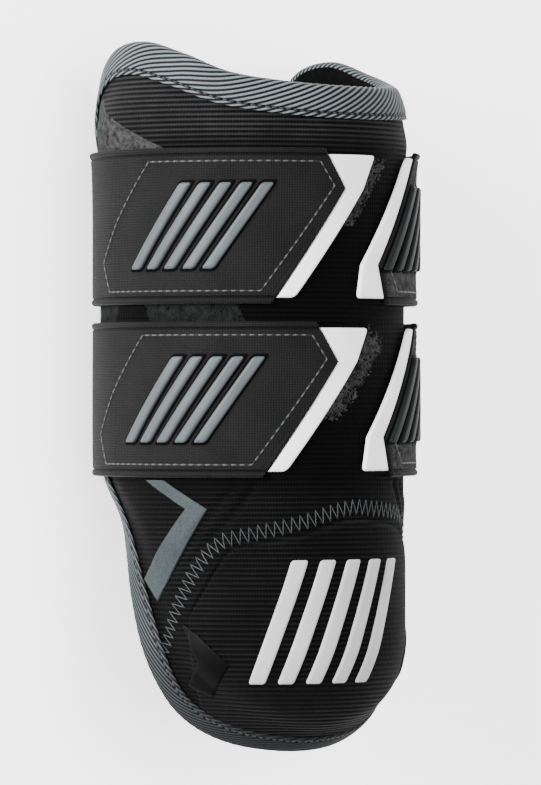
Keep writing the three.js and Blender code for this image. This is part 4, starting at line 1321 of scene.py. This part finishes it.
def rib_grid(rib, index, angle, station, radius, margin=0.0):
    """Places on one leaning rib with rounded corners, and how far each is from its edge."""
    width, tall = rib["width"] + 2 * margin, rib["height"] + 2 * margin
    s = soft_steps(7, width, [0.08, 0.25, 0.55, 0.9])
    t = soft_steps(26, tall, [0.08, 0.25, 0.55, 0.9, 1.3])[:, None]
    end_gap = np.minimum(t, 1 - t) * tall
    pull = RIB_ROUND * (1 - rounded(end_gap, RIB_ROUND))
    half = width / 2 - pull
    rise = (t - 0.5) * tall
    slide = (index - (RIB_COUNT - 1) / 2) * rib["pitch"] + (2 * s - 1) * half
    slide = slide + math.tan(math.radians(rib["lean"])) * rise
    slant = math.cos(math.radians(rib["lean"]))
    edge = np.minimum(np.minimum(s, 1 - s) * 2 * half * slant, end_gap)
    return angle + np.degrees(slide / radius), station + rise + 0 * slide, edge


def tab_ribs(name, middle, half_gap, side):
    """Five ribs on a tab, each in a dark pressed surround."""
    angle = TAB_CENTRE_ANGLE + side * strap_degrees(half_gap * TAB_GAP + TAB_RIB_SETBACK[side])
    radius = RADIUS + STRAP_THICKNESS
    for k in range(RIB_COUNT):
        label = f"{name}_{SIDES[side]}_{k + 1}"
        a, y, edge = rib_grid(TAB_RIB, k, angle, middle, radius)
        top = STRAP_THICKNESS + RIB_GAP + RIB_LIFT * (0.35 + 0.65 * rounded(edge, RIB_ROUND))
        piece = sheet(f"grip_rib_{label}", on_strap, a, y, top, STRAP_THICKNESS - 0.1,
                      grey_rubber if side < 0 else dark_rubber)
        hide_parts(f"tab_rib_{label}")
        a, y, edge = rib_grid(TAB_RIB, k, angle, middle, radius, SURROUND_MARGIN)
        rim = STRAP_THICKNESS + SURROUND_RISE * rounded(edge, 0.4)
        surround = sheet(f"rib_surround_{label}", on_strap, a, y, rim, STRAP_THICKNESS - 0.2, black_rubber)


for tab in TABS:
    tab_ribs(*tab)
print("Ribs on the tabs:", len(TABS) * RIB_COUNT)

# %% [markdown]
# ## Ribs of the cup
# The cup's ribs are the same bars, wider and longer, and they lean less. They lie on the raised plate, so
# each starts below the plate's surface and follows its curl.

# %% Ribs of the cup
CUP_RIB = {"width": 6.0, "pitch": 10.4, "height": 43.0, "lean": 20}
CUP_RIB_STATION = -0.296
CUP_RIB_ANGLE = -4
cup_station = CUP_RIB_STATION * LENGTH
for k in range(RIB_COUNT):
    a, y, edge = rib_grid(CUP_RIB, k, CUP_RIB_ANGLE, cup_station, float(radius_at(cup_station)))
    base = pad_height(a, y)
    top = RIB_GAP + RIB_LIFT * (0.5 + 0.5 * rounded(edge, RIB_ROUND))
    cup_rib = sheet(f"cup_bar_{k + 1}", on_panel, a, y, top, base - 0.3, cup_rubber)
    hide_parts(f"cup_rib_{k + 1}")
print("Ribs on the cup:", RIB_COUNT)

# %% [markdown]
# ## Bonded stripes
# A grey stripe bends down each side of the sleeve, and a glossy black one marks each side of the cup. They
# are thin film bonded on the knit, so they follow its surface and stand about half a millimetre above it.

# %% Stripes on sleeve and cup
STRIPE_WIDTH = 8.2
STRIPE_STRAP_GAP = 1
FILM_THICKNESS = 0.3
FILM_GAP = 0.15
STRIPE_TOP = LOWER_STRAP_STATION - STRAP_WIDTH / 2 - STRIPE_STRAP_GAP
# station, angle, width, fall of the front side
COVER_STRIPE = [(-0.2552, -0.607, 0.82, 0.9), (-0.1467, -0.4161, 1, 0), (STRIPE_TOP / LENGTH, -0.5401, 1, 0)]
CUP_STRIPE = [(-0.391, -0.446, 1.0, 0.5), (-0.3505, -0.389, 1.39, 0.1), (-0.305, -0.4635, 0.7, 0.35)]


def bonded_stripe(name, table, side, lowest, replaced, finish):
    """A bent stripe of film on the sleeve or the cup; lowest is as far as it dips with the pad."""
    rows = np.array(table)
    shares = np.unique(np.concatenate([np.linspace(rows[0, 0], rows[-1, 0], 60), rows[:, 0]]))[:, None]
    s = soft_steps(11, STRIPE_WIDTH, [0.1, 0.3])
    angle, width, fall = (np.interp(shares, rows[:, 0], rows[:, k]) for k in (1, 2, 3))
    station = shares * LENGTH - (s - 0.5) * fall * STRIPE_WIDTH
    angle = angle * EDGE_ANGLE + np.degrees((s - 0.5) * width * STRIPE_WIDTH / radius_at(station))
    base = np.maximum(pad_height(angle, station), lowest)
    edge = np.minimum(np.minimum(s, 1 - s) * width * STRIPE_WIDTH,
                      np.minimum(shares - shares[0], shares[-1] - shares) * LENGTH)
    top = base + FILM_GAP + FILM_THICKNESS * (0.3 + 0.7 * rounded(edge, 0.45))
    piece = sheet(name, on_panel, -side * angle, station, top, base - 1.2, finish)
    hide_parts(replaced)


for side, word in SIDES.items():
    bonded_stripe(f"sleeve_stripe_{word}", COVER_STRIPE, side, -0.45, f"side_stripe_{word}", stripe_film)
    bonded_stripe(f"cup_chevron_{word}", CUP_STRIPE, side, -0.1, f"cup_stripe_{word}", gloss_film)
print("Stripes:", 4)

# %% [markdown]
# ## Loop fabric
# The straps grip on loop fabric sewn on the sleeve. It shows as fuzzy grey zones above the upper strap,
# between the straps and beside the end trims. Each zone is a thin skin of its own whose height wanders with
# a noise, so that it fades into the knit without a hard border. The zones between the straps take a darker
# copy of the loop fabric, as painted shade.

# %% Loop zones
LOOP_RISE = 0.3
# name, raggedness, then angle and station of its corners: low left, low right, high right, high left
LOOP_ZONES = [
    ("above_left", 0.2, [(-127, 84.5), (-62, 84.5), (-104, 101.5), (-124, 112)]),
    ("between_left", 0.5, [(-126, 25), (-97, 25), (-92, 34), (-126, 34)]),
    ("between_front", 0.8, [(-76, 25), (-36, 25), (-40, 34), (-80, 34)]),
    ("gap_upper", 2.2, [(-6, 60), (6, 60), (26, 84), (14, 84)]),
    ("gap_lower", 2.2, [(-13, -8), (0, -8), (25, 20), (14, 26)]),
]


def loop_zone(name, ragged, corners):
    """A thin fuzzy skin between four corners on the sleeve."""
    low_left, low_right, high_right, high_left = (np.array(c, float) for c in corners)
    wide = math.radians(abs(low_right[0] - low_left[0])) * RADIUS
    tall = abs(high_left[1] - low_left[1])
    grid = 0.42 if ragged < 1 else 0.26
    s = np.linspace(0, 1, int(wide / grid))[None, :, None]
    t = np.linspace(0, 1, int(tall / grid))[:, None, None]
    place = (1 - t) * ((1 - s) * low_left + s * low_right) + t * ((1 - s) * high_left + s * high_right)
    angle, station = place[..., 0], place[..., 1]
    base = pad_height(angle, station)
    flat = on_panel(angle, station, 0).reshape(-1, 3)
    fluff = np.array([noise.noise(Vector(p * 0.55)) + ragged * noise.noise(Vector(p * 1.3)) for p in flat])
    fluff = fluff.reshape(angle.shape)
    rim = np.minimum(np.minimum(s, 1 - s) * wide, np.minimum(t, 1 - t) * tall)[..., 0]
    fade = smooth_step(rim + ragged * fluff, 0.0, 0.8 + ragged)
    top = base - 0.15 + fade * (LOOP_RISE + 0.22 * fluff)
    # painted shade: the zones between the straps take the darker copy of the loop fabric
    piece = sheet(f"loop_{name}", on_panel, angle, station, top, base - 0.6,
                  shaded_loop_pile if name.startswith("between") else loop_pile)
    return piece


for zone_name, zone_ragged, zone_corners in LOOP_ZONES:
    zone = loop_zone(zone_name, zone_ragged, zone_corners)
    print(zone.name, "faces:", len(zone.data.polygons))
